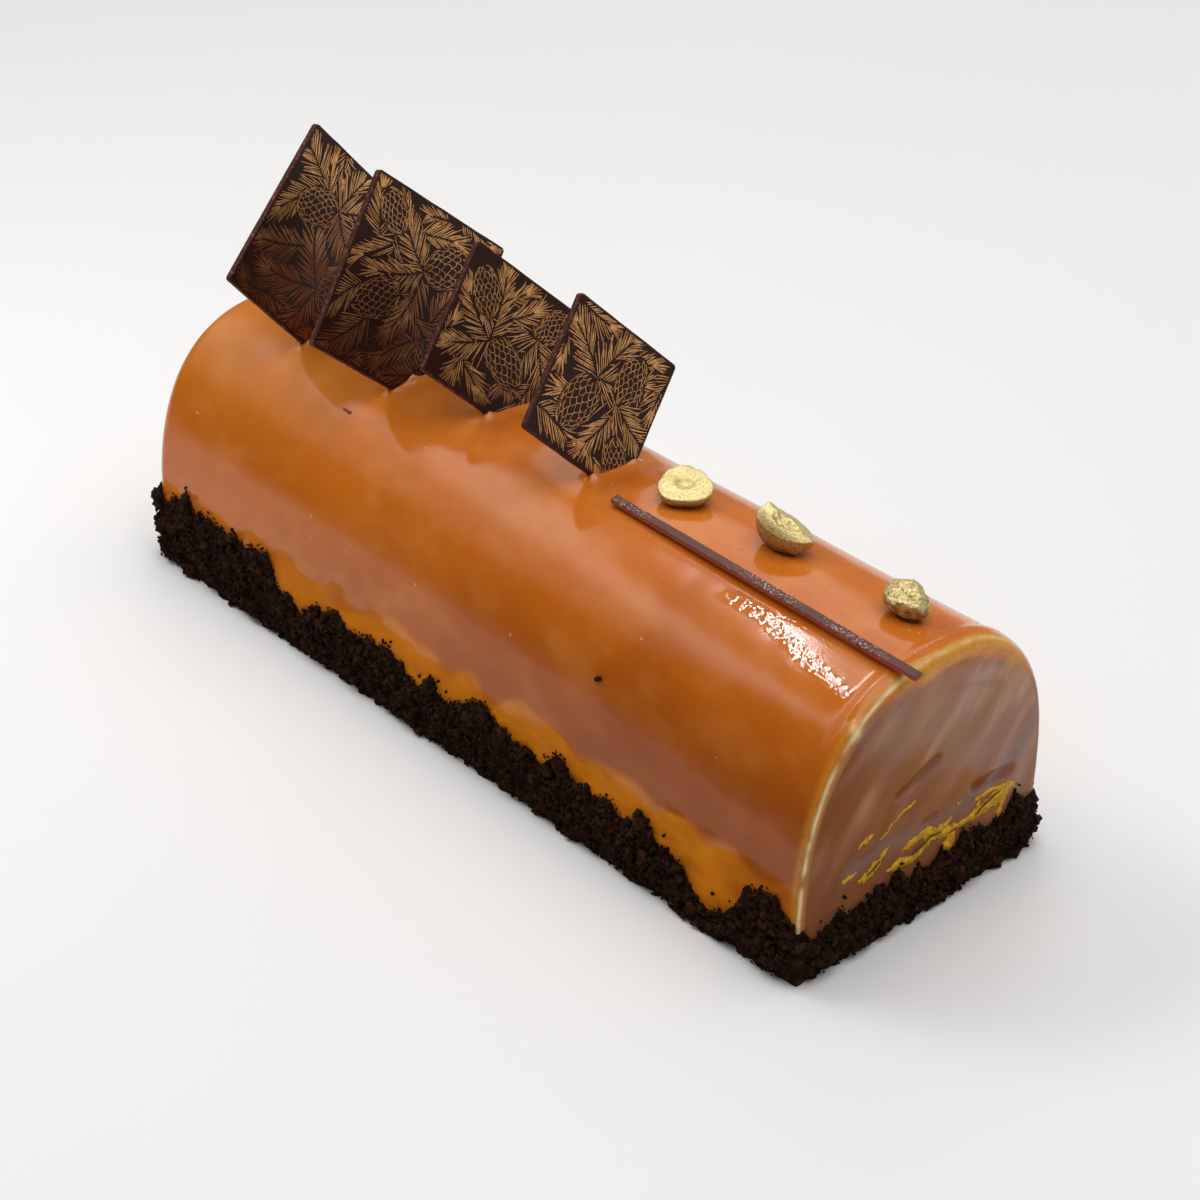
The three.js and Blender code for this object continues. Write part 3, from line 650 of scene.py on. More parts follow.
def glaze_relief(points, half_length, thickness):
    """How far the glaze stands out of the mould's form: slow ripples of 0.08 mm about 40 mm long, shorter
    ones low down where it ran off, the squares' feet, a bead along the near edge, a lump on it, and dints by
    the nuts."""
    relief = 0.08 * waves(points * (0.6, 1, 1), 40, 11) + 0.008 * waves(points, 9, 12)
    relief += relief_round_squares(points, thickness)
    x, y, z = points[..., 0], points[..., 1], points[..., 2]
    relief += (0.10 * waves(points, 17, 13) + 0.05 * waves(points, 8, 14)) * np.clip((40 - z) / 16, 0, 1)
    high = np.clip((z - 45) / 15, 0, 1)
    relief += 0.35 * bell(x - (half_length - 4.2 - 0.02 * (y + 10)), 1.5) * high
    relief += 1.7 * bell(np.hypot(x - (half_length - 1.0), (y - LUMP[1]) * 0.8), 1.3)
    for nut in HAZELNUTS:
        relief -= 0.35 * bell(np.hypot(x - nut["at"][0], y - nut["at"][1]), 9)
    return relief


def run_space(y, z, stretch):
    """Places on the near face in the slanting directions in which the glaze ran: across the runs, and along
    them, where a stretch below 1 draws out what is laid there."""
    return np.stack((0.80 * y - 0.60 * z, (0.60 * y + 0.80 * z) * stretch, np.zeros_like(y)), -1)


def end_relief(y, z, inner):
    """Relief of the near face, as the glaze ran down it: faint slanting streaks 11 and 5 mm apart, creases
    along the arcs and dents along their lines. inner fades it out towards the rim."""
    points = run_space(y, z, 0.25)
    relief = 0.14 * waves(points, 11, 21) + 0.02 * waves(points, 5, 22)
    for arc in FACE_ARCS:
        relief += 0.18 * bell(line_distance(y, z - 1.2, arc), 1.6)
        relief -= 0.22 * bell(line_distance(y, z, arc), 1.3)
    dents = np.zeros_like(y)
    for line, width, depth in FACE_DENTS:
        dents += depth * np.exp(-((line_distance(y, z, line) / width) ** 4))
    return (relief - dents) * inner, dents * inner


def log_rings(half_length, half_width, height):
    """Rings of the mould's outline from the far end to the near one. At a rounded edge a ring is drawn in
    by radius * (1 - sin t) and goes back by radius * (1 - cos t); the near edge is tighter on its walls
    than over the ridge. Returns points, normals, the turn t, and each point's way past the near edge."""
    profile_y, profile_z, normal_y, normal_z = arch_profile(SECTION_POINTS, half_width, height)
    tight = np.linspace(-half_length + FAR_ROUND, half_length - NEAR_ROUND, 4001)
    density = 1 + 1.4 * sum(bell(tight - entry_x(square), 6) for square in SQUARES)
    density += 1.5 * bell(tight - half_length, 10)
    share = np.concatenate(([0], np.cumsum((density[1:] + density[:-1]) / 2)))
    body_x = np.interp(np.linspace(0, share[-1], BODY_RINGS), share, tight)

    quarter = np.pi / 2
    far = np.linspace(0, quarter, FAR_EDGE_RINGS + 1)[:-1]
    near = np.linspace(quarter, 0, NEAR_EDGE_RINGS + 1)[1:]
    turn = np.concatenate((far, np.full(len(body_x) + 2, quarter), near))[:, None]
    side = np.sign(np.arange(len(turn)) - len(far) + 0.5)[:, None]
    over_ridge = np.clip((profile_z - 45) / 20, 0, 1)
    radius = np.where(side < 0, FAR_ROUND, 1.5 + (NEAR_ROUND - 1.5) * over_ridge)
    straight = np.concatenate((-half_length + FAR_ROUND + 0 * far, body_x, [0, 0], 0 * near))[:, None]
    straight = straight + 0 * profile_y
    before_edge = half_length - NEAR_ROUND + (NEAR_ROUND - radius[-1]) * np.array((0.5, 1.0))[:, None]
    straight[len(far) + len(body_x) : len(far) + len(body_x) + 2] = before_edge
    straight[-len(near) :] = before_edge[-1]
    x = straight + side * radius * np.cos(turn)
    inset = radius * (1 - np.sin(turn))
    points = np.stack((x, profile_y - inset * normal_y, profile_z - inset * normal_z), -1)
    tilt = side * np.cos(turn)
    normal = np.stack((tilt + 0 * profile_y, np.sin(turn) * normal_y, np.sin(turn) * normal_z), -1)
    past_edge = np.where(side > 0, radius * (np.pi / 4 - turn), -99.0)
    near_side = points[..., 0] > half_length - 12
    past_edge = np.where(near_side, past_edge - np.maximum(straight[-1] - straight, 0), -99.0)
    return points, normal, turn, past_edge


def build_log(settings):
    """The log's rings, closed under the foot, with both ends filled by smaller and smaller copies of their
    first ring. Relief moves every point along the surface's normal."""
    half_length, half_width = settings.length / MM / 2, settings.width / MM / 2
    height = settings.height / MM
    points, normal, turn, past_edge = log_rings(half_length, half_width, height)
    relief = glaze_relief(points, half_length, bpy.context.scene.cake_squares.thickness / MM)
    points = points + (relief * np.sin(turn))[..., None] * normal
    points[..., 2] = np.maximum(points[..., 2], 0)

    foot = np.linspace(1, -1, FOOT_POINTS + 2)[1:-1]
    front, back = points[:, :1], points[:, -1:]
    rings = np.concatenate((points, (back - front) / 2 * foot[None, :, None] + (back + front) / 2), 1)
    rings[:, len(points[0]) :, 2] = 0

    def inner_rings(outline, count):
        """Copies of an end's outline, smaller and smaller towards its middle."""
        middle = np.array((outline[0, 0], 0.0, 0.48 * height))
        return outline + (middle - outline) * (np.arange(1, count + 1) / (count + 1))[:, None, None]

    far_cap = inner_rings(rings[0], FAR_END_RINGS)[::-1]
    fading = np.arange(FAR_END_RINGS, 0, -1) / (FAR_END_RINGS + 1)
    far_cap[..., 0] += 0.12 * waves(far_cap, 14, 23) * fading[:, None]
    near_cap = inner_rings(rings[-1], NEAR_END_RINGS)
    inward = np.arange(1, NEAR_END_RINGS + 1) / (NEAR_END_RINGS + 1) * 34
    depth_in = np.broadcast_to(inward[:, None], near_cap.shape[:2])
    lift, dents = end_relief(near_cap[..., 1], near_cap[..., 2], 1 - np.exp(-depth_in / 3))
    near_cap[..., 0] += lift
    every = np.concatenate((far_cap, rings, near_cap))
    skin, faces = closed_skin(every)
    past_edge = np.pad(past_edge, ((len(far_cap), 0), (0, len(foot))), constant_values=-99.0)
    edge_way = 0.471 * NEAR_ROUND  # a middling way from the rounded edge's middle to its last ring
    past_edge = np.concatenate((past_edge, depth_in + edge_way))
    layers = glaze_layers(every, past_edge, dents)
    flat = {
        name: np.concatenate((values.ravel(), [0.0, 1.0 if name == "face" else 0.0]))
        for name, values in layers.items()
    }
    material = caramel_glaze(settings)
    add_piece("glazed_mousse_log", skin, faces, material, ["glazed_log"], layers=flat)


def face_strips(lines, half_length, height, ragged):
    """Flat strips on the near face along lines of (y, z, half width). The middle and width of each
    stray by slow waves, and each lies a little higher than the one before, over the face's relief."""
    share = np.linspace(0, 1, STRIP_POINTS)
    places, widths = [], []
    for line in lines:
        y, z, half = np.array(line).T
        reach = np.concatenate(([0], np.cumsum(np.hypot(np.diff(y), np.diff(z)))))
        way = share * reach[-1]
        soft = [np.interp(way, reach, value) for value in (y, z, half)]
        for _ in range(5):
            soft = [np.concatenate((v[:1], (v[:-2] + v[1:-1] + v[2:]) / 3, v[-1:])) for v in soft]
        places.append(np.stack(soft[:2], -1))
        widths.append(2.6 * soft[2])
    places, widths = np.array(places), np.array(widths)
    flat = np.concatenate((places, np.zeros(places.shape[:2] + (1,))), -1)
    places = places + ragged * 0.13 * np.stack((waves(flat, 2.6, 34), waves(flat, 2.6, 35)), -1)
    widths = widths * (1 + ragged * np.clip(0.28 * waves(flat, 1.7, 36), -0.5, 0.5))
    points, faces = ribbons(places, widths, height + 0.012 * np.arange(len(lines)))
    y, z = points[:, 0], points[:, 1]
    relief, _ = end_relief(y, z, np.ones_like(y))
    below = np.where(points[:, 2] < 0, -0.5, points[:, 2])
    return np.stack((half_length + relief + below, y, z), -1), faces


def build_streaks(settings):
    """Painted reflections of a gold board on the near face, and the dark creases in them."""
    half_length = settings.length / MM / 2
    for name, lines, height, ragged, grade, colour in (
        ("painted_gold_reflections", GOLD_REFLECTION_STREAKS, 0.10, 1.0, "PaintedGoldReflection", settings.gold_reflection_colour),
        ("reflection_creases", REFLECTION_CREASES, 0.30, 0.4, "ReflectionCrease", settings.crease_shade_colour),
    ):
        points, faces = face_strips(lines, half_length, height, ragged)
        add_piece(name, points, faces, painted_gold_reflection(settings, grade, colour))


def glaze_layers(every, past_edge, dents):
    """Point layers that the glaze's material reads, each from 0 to 1: face (milky coat on the near end),
    ochre (thin round its rim), cream (bare along the edge and on the lump, and a painted highlight on the
    lips), brown (pooled in dents and arcs, and inside the left rim), near_end_shade (painted shade, low
    towards the near end) and thin (thin towards the far end), wrinkle (beside the stick), deep (browner low
    and to the left on the near face), grey_reflection_and_shade (painted grey reflection and shade on the
    near face), swirl (pale runs down it) and foot (a painted reflection of a gold board above the foot)."""
    x, y, z = every[..., 0], every[..., 1], every[..., 2]
    on_end = past_edge > -20
    top = np.clip((z - 48) / 12, 0, 1) * np.clip((y + 20) / 10, 0, 1) * np.clip((40 - y) / 8, 0, 1)
    left = np.clip((-7 - y) / 7, 0, 1)
    layers = {name: np.zeros(every.shape[:2]) for name in GLAZE_LAYERS}
    start, full = 0.1 + 1.6 * top, 1.0 + 5.0 * top
    rise = np.clip((past_edge - start) / (full - start), 0, 1)
    layers["face"] = rise * rise * (3 - 2 * rise)
    warm = np.clip((-4 - y) / 8, 0, 1) * np.clip((z - 36) / 10, 0, 1) * bell(past_edge - 2, 6.5)
    reach = 1.4 + 0.6 * waves(every * (0, 1, 1), 7, 26)
    band = np.clip((past_edge + 2.2) / 1.4, 0, 1) * np.clip(1 - (past_edge - reach) / 2.2, 0, 1)
    glow = 0.55 * bell(past_edge + 1.3, 1.1) + 0.3 * bell(past_edge - 0.9, 0.6)
    layers["ochre"] = np.where(on_end, np.maximum(band * top, glow * left), 0)
    whole = 1 - bell(np.hypot(y + 31, z - 55.5), 2.6)
    ragged = np.clip(0.9 + 0.3 * waves(every, 4, 24), 0, 1)
    line = bell(past_edge, 0.45) * left * whole * ragged + 0.5 * bell(past_edge + 0.3, 0.55) * top * ragged
    off_lump = np.hypot(np.hypot(y - LUMP[1], z - LUMP[2]), x - LUMP[0])
    lump = 0.85 * bell(off_lump, 1.5)
    # On the lips the cream is a painted highlight.
    lips = [bell(np.hypot(x - a - 0.5, y - b + 0.4), 0.4 * radius) for a, b, _, radius in LIPS]
    lip_highlight = 0.4 * np.max(lips, 0)
    layers["cream"] = np.where(on_end, np.clip(np.maximum(line, lump), 0, 1), lip_highlight * (z > 50))

    inside = slice(len(every) - len(dents), None)
    y_face, z_face = y[inside], z[inside]
    arcs = np.max([bell(line_distance(y_face, z_face, arc), 1.1) for arc in FACE_ARCS], 0)
    pooled = np.maximum(dents * 2.6, np.maximum(0.3 * arcs, 0.6 * warm[inside]))
    layers["brown"][inside] = np.clip(pooled, 0, 1)
    layers["deep"][inside] = np.clip((52 - z_face) / 34 + (-8 - y_face) / 55, 0, 1)
    # Painted grey reflection along the first run, by the right edge, and painted grey shade along the second.
    runs = [bell(line_distance(y_face, z_face, run), 2.6) for run in GREY_REFLECTION_RUNS]
    layers["grey_reflection_and_shade"][inside] = 0.7 * np.max(runs, 0)
    slanted = run_space(y_face, z_face, 0.24)
    swirl = 0.2 + 0.42 * waves(slanted, 9, 27) + 0.12 * waves(slanted, 4, 28)
    swirl += 1.1 * np.clip((y_face - 2) / 22, 0, 1) * np.clip((z_face - 38) / 12, 0, 1)
    layers["swirl"][inside] = np.clip(swirl, 0, 1) * np.clip((z_face - 22) / 20, 0.2, 1)

    # foot: a painted reflection of a gold board, an orange band above the foot along the front.
    reflection_top = 24.5 + 2.0 * waves(every, 16, 29) - 3.5 * np.clip((-80 - x) / 25, 0, 1)
    ends = np.clip((x + 92) / 55, 0.12, 1) * np.clip((124 - x) / 30, 0.35, 1)
    layers["foot"] = np.clip((reflection_top - z) / 2.0, 0, 1) * (y < 0) * (past_edge < -1) * ends
    # Painted shade: the glaze darker low on the walls towards the near end.
    layers["near_end_shade"] = np.clip((x + 60) / 170, 0, 1) * np.clip((62 - z) / 26, 0, 1)
    layers["thin"] = np.clip((-10 - x) / 90, 0, 1) * np.clip((z - 44) / 16, 0, 1)
    beside = np.max([bell(line_distance(x, y, line), width) for line, width in WRINKLES], 0)
    beside = np.clip((beside - 0.25) / 0.35, 0, 1)
    layers["wrinkle"] = beside * np.clip((x - 69) / 4, 0, 1) * (z > 50) * np.clip((121.5 - x) / 2, 0, 1)
    return layers


# ---------------------------------------------------------------- printed squares


def plate_outline(side, corner):
    """A square with rounded corners, as points from its lower right side round: 4 arcs and 4 straights."""
    half = side / 2 - corner
    corners = []
    for quarter in range(4):
        angle = np.pi / 2 * (quarter + np.linspace(0, 1, 7)) - np.pi / 2
        middle = half * np.array(((1, -1), (1, 1), (-1, 1), (-1, -1))[quarter])
        arc = middle + corner * np.stack((np.cos(angle), np.sin(angle)), -1)
        following = half * np.array(((1, 1), (-1, 1), (-1, -1), (1, -1))[quarter])
        end = following + corner * np.array((math.cos(angle[-1]), math.sin(angle[-1])))
        straight = arc[-1] + (end - arc[-1]) * np.linspace(0, 1, 26)[1:-1, None]
        corners += [arc, straight]
    return np.concatenate(corners)


def plate_skin(square, thickness):
    """A thin square plate: rings of its outline from the middle of its back, over a small rounded edge, to
    the middle of its printed face. The outline strays inwards by up to 0.1 mm, as cast chocolate's does."""
    side = square["side"]
    outline = plate_outline(side, SQUARE_CORNER)
    rings, edge = [], []
    bevel = SQUARE_BEVEL
    sections = [(0.8 * side / 2, -thickness, 0), (0.4 * side / 2, -thickness, 0), (3.0, -thickness, 0)]
    for t in np.linspace(0, np.pi / 2, 4):
        sections.append((bevel * (1 - math.sin(t)), -thickness + bevel * (1 - math.cos(t)), 0.8))
    sections += [(0.0, -0.66 * thickness, 1), (0.0, -0.33 * thickness, 1)]
    for t in np.linspace(np.pi / 2, 0, 4):
        sections.append((bevel * (1 - math.sin(t)), -bevel * (1 - math.cos(t)), 0.8))
    sections += [(0.45, 0.0, 0.0), (3.0, 0.0, 0), (0.4 * side / 2, 0.0, 0), (0.8 * side / 2, 0.0, 0)]
    seed = int(side * 10) + int(square["at"][0])
    stray = 0.05 + 0.03 * waves(np.c_[outline, np.zeros(len(outline))], 9, seed)
    for inset, z, wear_and_shade in sections:
        scale = 1 - (inset + stray * (inset < 1)) / (side / 2)
        rings.append(np.c_[outline * np.reshape(scale, (-1, 1)), np.full(len(outline), z)])
        edge.append(np.full(len(outline), float(wear_and_shade)))
    points, faces = closed_skin(np.array(rings))
    return points, faces, np.concatenate(edge + [np.zeros(2)])


def placed_on_square(points, square):
    """Points of a square's own plane, moved to where it stands."""
    middle, right, top, facing = square_frame(square)
    return middle + points @ np.array((right, top, facing))


def ribbons(lines, widths, heights):
    """Flat closed strips along many lines at once: at each point half a width to either side, from a level
    just under the face to the line's own height. lines is (strips, points, 2)."""
    strips, count, _ = lines.shape
    heading = np.gradient(lines, axis=1)
    heading /= np.linalg.norm(heading, axis=2, keepdims=True) + 1e-9
    aside = np.stack((-heading[..., 1], heading[..., 0]), -1) * widths[..., None] / 2
    level = np.broadcast_to(heights[:, None], (strips, count))
    corners = [
        np.dstack((lines + aside, np.full((strips, count), -0.02))),
        np.dstack((lines - aside, np.full((strips, count), -0.02))),
        np.dstack((lines - aside, level)),
        np.dstack((lines + aside, level)),
    ]
    points = np.stack(corners, 2).reshape(-1, 3)
    one = np.concatenate((
        grid_faces(count, 4, close_columns=True)[:, ::-1],
        [[0, 1, 2, 3]],
        np.array([[3, 2, 1, 0]]) + 4 * (count - 1),
    ))[:, ::-1]
    faces = (one[None] + 4 * count * np.arange(strips)[:, None, None]).reshape(-1, 4)
    return points, faces


def sprig_needles(root, heading, length, draw):
    """Needles of one pine sprig: a stem that bends a little, with needles on both sides that start a bare
    0.3 mm off it, point 50 degrees off it at the root and 20 at the tip, and fan out at its end. Each is a
    path of points along a slight curve."""
    pairs = max(int(length / 0.72), 4)
    along = np.linspace(0.02, 1, pairs)
    bend = draw.uniform(-0.6, 0.6)
    stem_heading = math.radians(heading) + bend * along
    step = np.diff(along, prepend=0) * length
    stem = root + np.cumsum(np.stack((np.cos(stem_heading), np.sin(stem_heading)), -1) * step[:, None], 0)
    start, angle, size = [], [], []
    for side in (-1, 1):
        spread = np.radians(50 - 30 * along) * side + draw.normal(0, 0.06, pairs)
        aside = np.stack((-np.sin(stem_heading), np.cos(stem_heading)), -1) * side * 0.3
        start.append(stem + aside + draw.normal(0, 0.08, stem.shape))
        angle.append(stem_heading + spread)
        size.append(min(7.2, 3 + 0.3 * length) * (1 - 0.2 * along) * draw.uniform(0.75, 1.12, pairs))
    fan = 7
    start.append(np.repeat(stem[-1:], fan, 0))
    angle.append(stem_heading[-1] + np.linspace(-0.42, 0.42, fan) + draw.normal(0, 0.04, fan))
    size.append(min(6.4, 3 + 0.25 * length) * draw.uniform(0.8, 1.1, fan))
    start, angle, size = np.concatenate(start), np.concatenate(angle), np.concatenate(size)
    share = np.linspace(0, 1, NEEDLE_POINTS)
    turn = angle[:, None] + draw.normal(0, 0.1, (len(angle), 1)) * (share - 0.5)
    return start[:, None] + np.stack((np.cos(turn), np.sin(turn)), -1) * (size[:, None] * share)[..., None]


def cone_space(points, cone, half):
    """Distance from a cone's middle, where its outline is 1. Its width is 0.66 of its length."""
    x, y, heading, length = cone
    turn = math.radians(heading)
    offset = points - np.array((x, y)) * half
    along = offset @ np.array((math.cos(turn), math.sin(turn)))
    aside = offset @ np.array((-math.sin(turn), math.cos(turn)))
    return np.hypot(along / (length / 2), aside / (length * 0.33))


def cone_scales(cone, half, draw):
    """Outlines of a cone's scales, like fish scales: each is an arc 1 - |t|^3 whose ends rest on the tips
    of the row before, drawn on a body whose half width at a share s of its length is
    0.33 length * (1 - |2s - 1|^2.2)^0.5, and then pushed about by slow waves so that no two are alike."""
    x, y, heading, length = cone
    rows, reach = 9, np.linspace(-1, 1, 9)
    lines = []
    for row in range(-1, rows):
        places = np.arange(-3, 4) * 2.0 + (1 if row % 2 else 0)
        around = (places[:, None] + reach) / 7.4
        share = (row + 1 - np.abs(reach) ** 3 * 0.95) / rows + draw.uniform(-0.022, 0.022, (len(places), 1))
        share = np.broadcast_to(share, around.shape)
        width = 0.33 * length * np.clip(1 - np.abs(2 * share - 1) ** 2.2, 0, 1) ** 0.5
        line = np.stack(((share - 0.5) * length, width * np.sin(np.clip(around, -1, 1) * np.pi / 2)), -1)
        lines.append(line[(np.abs(places) < 6.3) & (share.min(1) > 0.0) & (share.max(1) < 1.0)])
    lines = np.concatenate(lines)
    flat = np.concatenate((lines, np.zeros(lines.shape[:-1] + (1,))), -1)
    seed = int(draw.integers(1, 999))
    lines = lines + 0.16 * np.stack((waves(flat, 3.2, seed), waves(flat, 3.2, seed + 1)), -1)
    turn = math.radians(heading)
    spun = lines @ np.array(((math.cos(turn), math.sin(turn)), (-math.sin(turn), math.cos(turn))))
    return spun + np.array((x, y)) * half


def first_free_run(free):
    """The first unbroken run of True in each row, as its first and last places."""
    first = free.argmax(1)
    stopped = ~free & (np.arange(free.shape[1]) > first[:, None])
    return first, np.where(stopped.any(1), stopped.argmax(1) - 1, free.shape[1] - 1)


def print_pattern(square, cones, needle_width, seed):
    """The print of one square. Sprigs are laid one after another, round the cones first and then, shorter
    and shorter, wherever room is left; a needle ends where it meets a cone, the bare margin or the print
    that is already there, which is kept as a raster. The cones' scales are drawn in outline."""
    draw = np.random.default_rng(seed)
    half = square["side"] / 2
    limit = half - PRINT_MARGIN
    width = int(2 * half / PRINT_CELL) + 1
    taken = np.zeros((width, width), bool)
    roots = []
    for x, y, heading, length in cones:
        turn = math.radians(heading)
        base = np.array((x, y)) * half - 0.5 * length * np.array((math.cos(turn), math.sin(turn)))
        roots += [(base, heading + 180 + spread, draw.uniform(13, 18)) for spread in (-62, 4, 66)]
    for size in np.linspace(15, 6.5, FILL_SPRIGS):
        roots.append((draw.uniform(-half, half, 2), draw.uniform(0, 360), size))
    needles = []
    for place, root in enumerate(roots):
        path = sprig_needles(*root, draw)
        cells = np.clip(((path + half) / PRINT_CELL).astype(int), 0, width - 1)
        free = (np.abs(path) < limit).all(-1) & ~taken[cells[..., 0], cells[..., 1]]
        for cone in cones:
            free &= cone_space(path, cone, half) > 1.04
        first, last = first_free_run(free)
        length = np.where(free.any(1), last - first, 0)
        if place >= 3 * len(cones) and length.sum() < 0.45 * free.size:
            continue
        kept = length >= SHORTEST_NEEDLE
        picks = first[:, None] + (last - first)[:, None] * np.array((0.0, 0.5, 1.0))
        needles.append(np.take_along_axis(path[kept], np.round(picks[kept]).astype(int)[..., None], 1))
        step = np.arange(NEEDLE_POINTS)
        drawn = (step >= first[:, None]) & (step <= last[:, None]) & kept[:, None]
        taken[cells[drawn][:, 0], cells[drawn][:, 1]] = True
    lines = np.concatenate(needles)
    widths = needle_width * np.array((0.7, 1.0, 0.6)) * draw.uniform(0.75, 1.15, (len(lines), 1))
    needles = ribbons(lines, widths, draw.uniform(0.02, 0.05, len(lines)))

    scales = np.concatenate([cone_scales(cone, half, draw) for cone in cones])
    scales = scales[(np.abs(scales) < limit).all((1, 2))]
    widths = needle_width * np.array((0.4, 0.5, 0.58, 0.64, 0.66, 0.64, 0.58, 0.5, 0.4))
    widths = widths * draw.uniform(0.8, 1.1, (len(scales), 1))
    outlines = ribbons(scales, widths, draw.uniform(0.05, 0.07, len(scales)))
    points = np.concatenate((needles[0], outlines[0]))
    faces = np.concatenate((needles[1], outlines[1] + len(needles[0])))
    return points, faces


def build_squares(settings):
    """Four plates and their prints, each print a skin of its own on the face that carries it."""
    chocolate, lustre = dark_chocolate(settings), gold_print(settings)
    for number, (square, cones, (shade_below, depth)) in enumerate(zip(SQUARES, CONES, PRINT_SHADE), 1):
        points, faces, edge = plate_skin(square, settings.thickness / MM)
        add_piece(
            f"chocolate_plate_{number}", placed_on_square(points, square), faces, chocolate,
            [f"chocolate_square_{number}"], layers={"edge": edge},
        )
        points, faces = print_pattern(square, cones, settings.needle_width / MM, 40 + number)
        points = placed_on_square(points, square)
        # Painted shade and a painted reflection of the darker glaze: the print is darker and redder low down.
        below = shade_below - points[:, 2] - 0.25 * points[:, 1] + 3 * waves(points, 14, 48)
        wear_and_shade = np.clip(below / 12, 0, 1) * depth
        add_piece(
            f"gold_print_{number}", points, faces, lustre, smooth=False,
            layers={"wear_and_shade": wear_and_shade},
        )


# ---------------------------------------------------------------- stick


def build_stick(settings):
    """A flat bar as rings along X: a trapezoid section with small rounds, bowed a little, whose top is
    raised by fine grit in patches. It lies along the side of the ridge, clear of the glaze under it."""
    length, width, thickness = (value / MM for value in (settings.length, settings.width, settings.thickness))
    along = np.linspace(-length / 2, length / 2, 520)
    turn = np.linspace(0, 2 * np.pi, 41)[:-1]
    power = 2 / 7.0
    across = np.sign(np.cos(turn)) * np.abs(np.cos(turn)) ** power
    rise = np.sign(np.sin(turn)) * np.abs(np.sin(turn)) ** power
    section_y = across * (width / 2 - 0.12 * (rise + 1))
    section_z = thickness * (rise + 1) / 2
    x = np.broadcast_to(along[:, None], (len(along), len(turn)))
    points = np.stack((x, np.broadcast_to(section_y, x.shape), np.broadcast_to(section_z, x.shape)), -1)
    patch = np.zeros(x.shape)
    for a, b in STICK_GRIT:
        patch += np.clip(1.5 - np.abs(x + length / 2 - (a + b) / 2) / ((b - a) / 2), 0, 1)
    patch = np.clip(patch, 0, 1)
    top = np.clip(section_z / thickness * 2 - 1, 0, 1)
    points[..., 2] += top * (0.02 + 0.05 * patch) * waves(points, 0.8, 31)
    points[..., 1] += 0.03 * waves(points * (1, 0, 0), 30, 32) + 0.012 * waves(points, 2.5, 33)
    rings = points[:, ::-1]
    points, faces = closed_skin(rings)

    x0, y0 = STICK_MIDDLE
    reach = length / 2 * math.sin(math.radians(abs(STICK_TURN)))
    _, normal_y, normal_z = glaze_height(np.array(y0))
    highest, _, _ = glaze_height(np.array(abs(y0) - reach - width / 2))
    roll = -math.degrees(math.atan2(normal_y, normal_z))
    lift = highest + STICK_GAP - (reach + width / 2) * normal_y / normal_z
    placed = turned(points, about_x=roll, about_z=STICK_TURN) + np.array((x0, y0, float(lift)))
    grit = np.concatenate(((patch * top)[:, ::-1].ravel(), [0, 0]))
    side = np.concatenate((np.broadcast_to(1 - top, x.shape)[:, ::-1].ravel(), [1, 1]))
    add_piece(
        "dusted_stick", placed, faces, stick_chocolate(settings), ["chocolate_stick"],
        layers={"grit": grit, "side": side},
    )


# ---------------------------------------------------------------- hazelnuts


def nut_face(number, reach, angle):
    """Height of a nut's cut face at a share of its radius: the first has a soft dimple with a small boss in
    it, the second slopes down to one side, with a horn at one end and a torn hollow with a boss in it, and
    the third is a worn hump."""
    x, y = reach * np.cos(angle), reach * np.sin(angle)
    if number == 1:
        off = np.hypot(x + 0.04, y - 0.10)
        dimple = -0.5 * bell(off, 0.34) + 0.42 * bell(off, 0.13)
        return dimple + 0.10 * bell(off - 0.42, 0.10) - 0.1 * reach**2
    if number == 2:
        off = np.hypot((x + 0.02) * 0.8, (y + 0.12) * 1.3)
        torn = 1 + 0.2 * np.sin(3 * angle + 0.6) + 0.1 * np.sin(7 * angle)
        hollow = -1.1 * np.exp(-((off / (0.33 * torn)) ** 4)) + 0.3 * bell(off - 0.46, 0.08)
        boss = 0.8 * bell(off, 0.15) - 0.7 * bell(np.hypot(x * 0.5, y + 0.30), 0.07)
        return hollow + boss + 2.7 * np.minimum(y, 0.0) + 0.9 * bell(np.hypot(x + 0.85, y - 0.1), 0.35)
    return 1.3 * (1 - reach**4) + 0.25 * np.sin(2.6 * x + 2.0 * y + 1) + 0.12 * np.sin(6 * x - 5 * y)


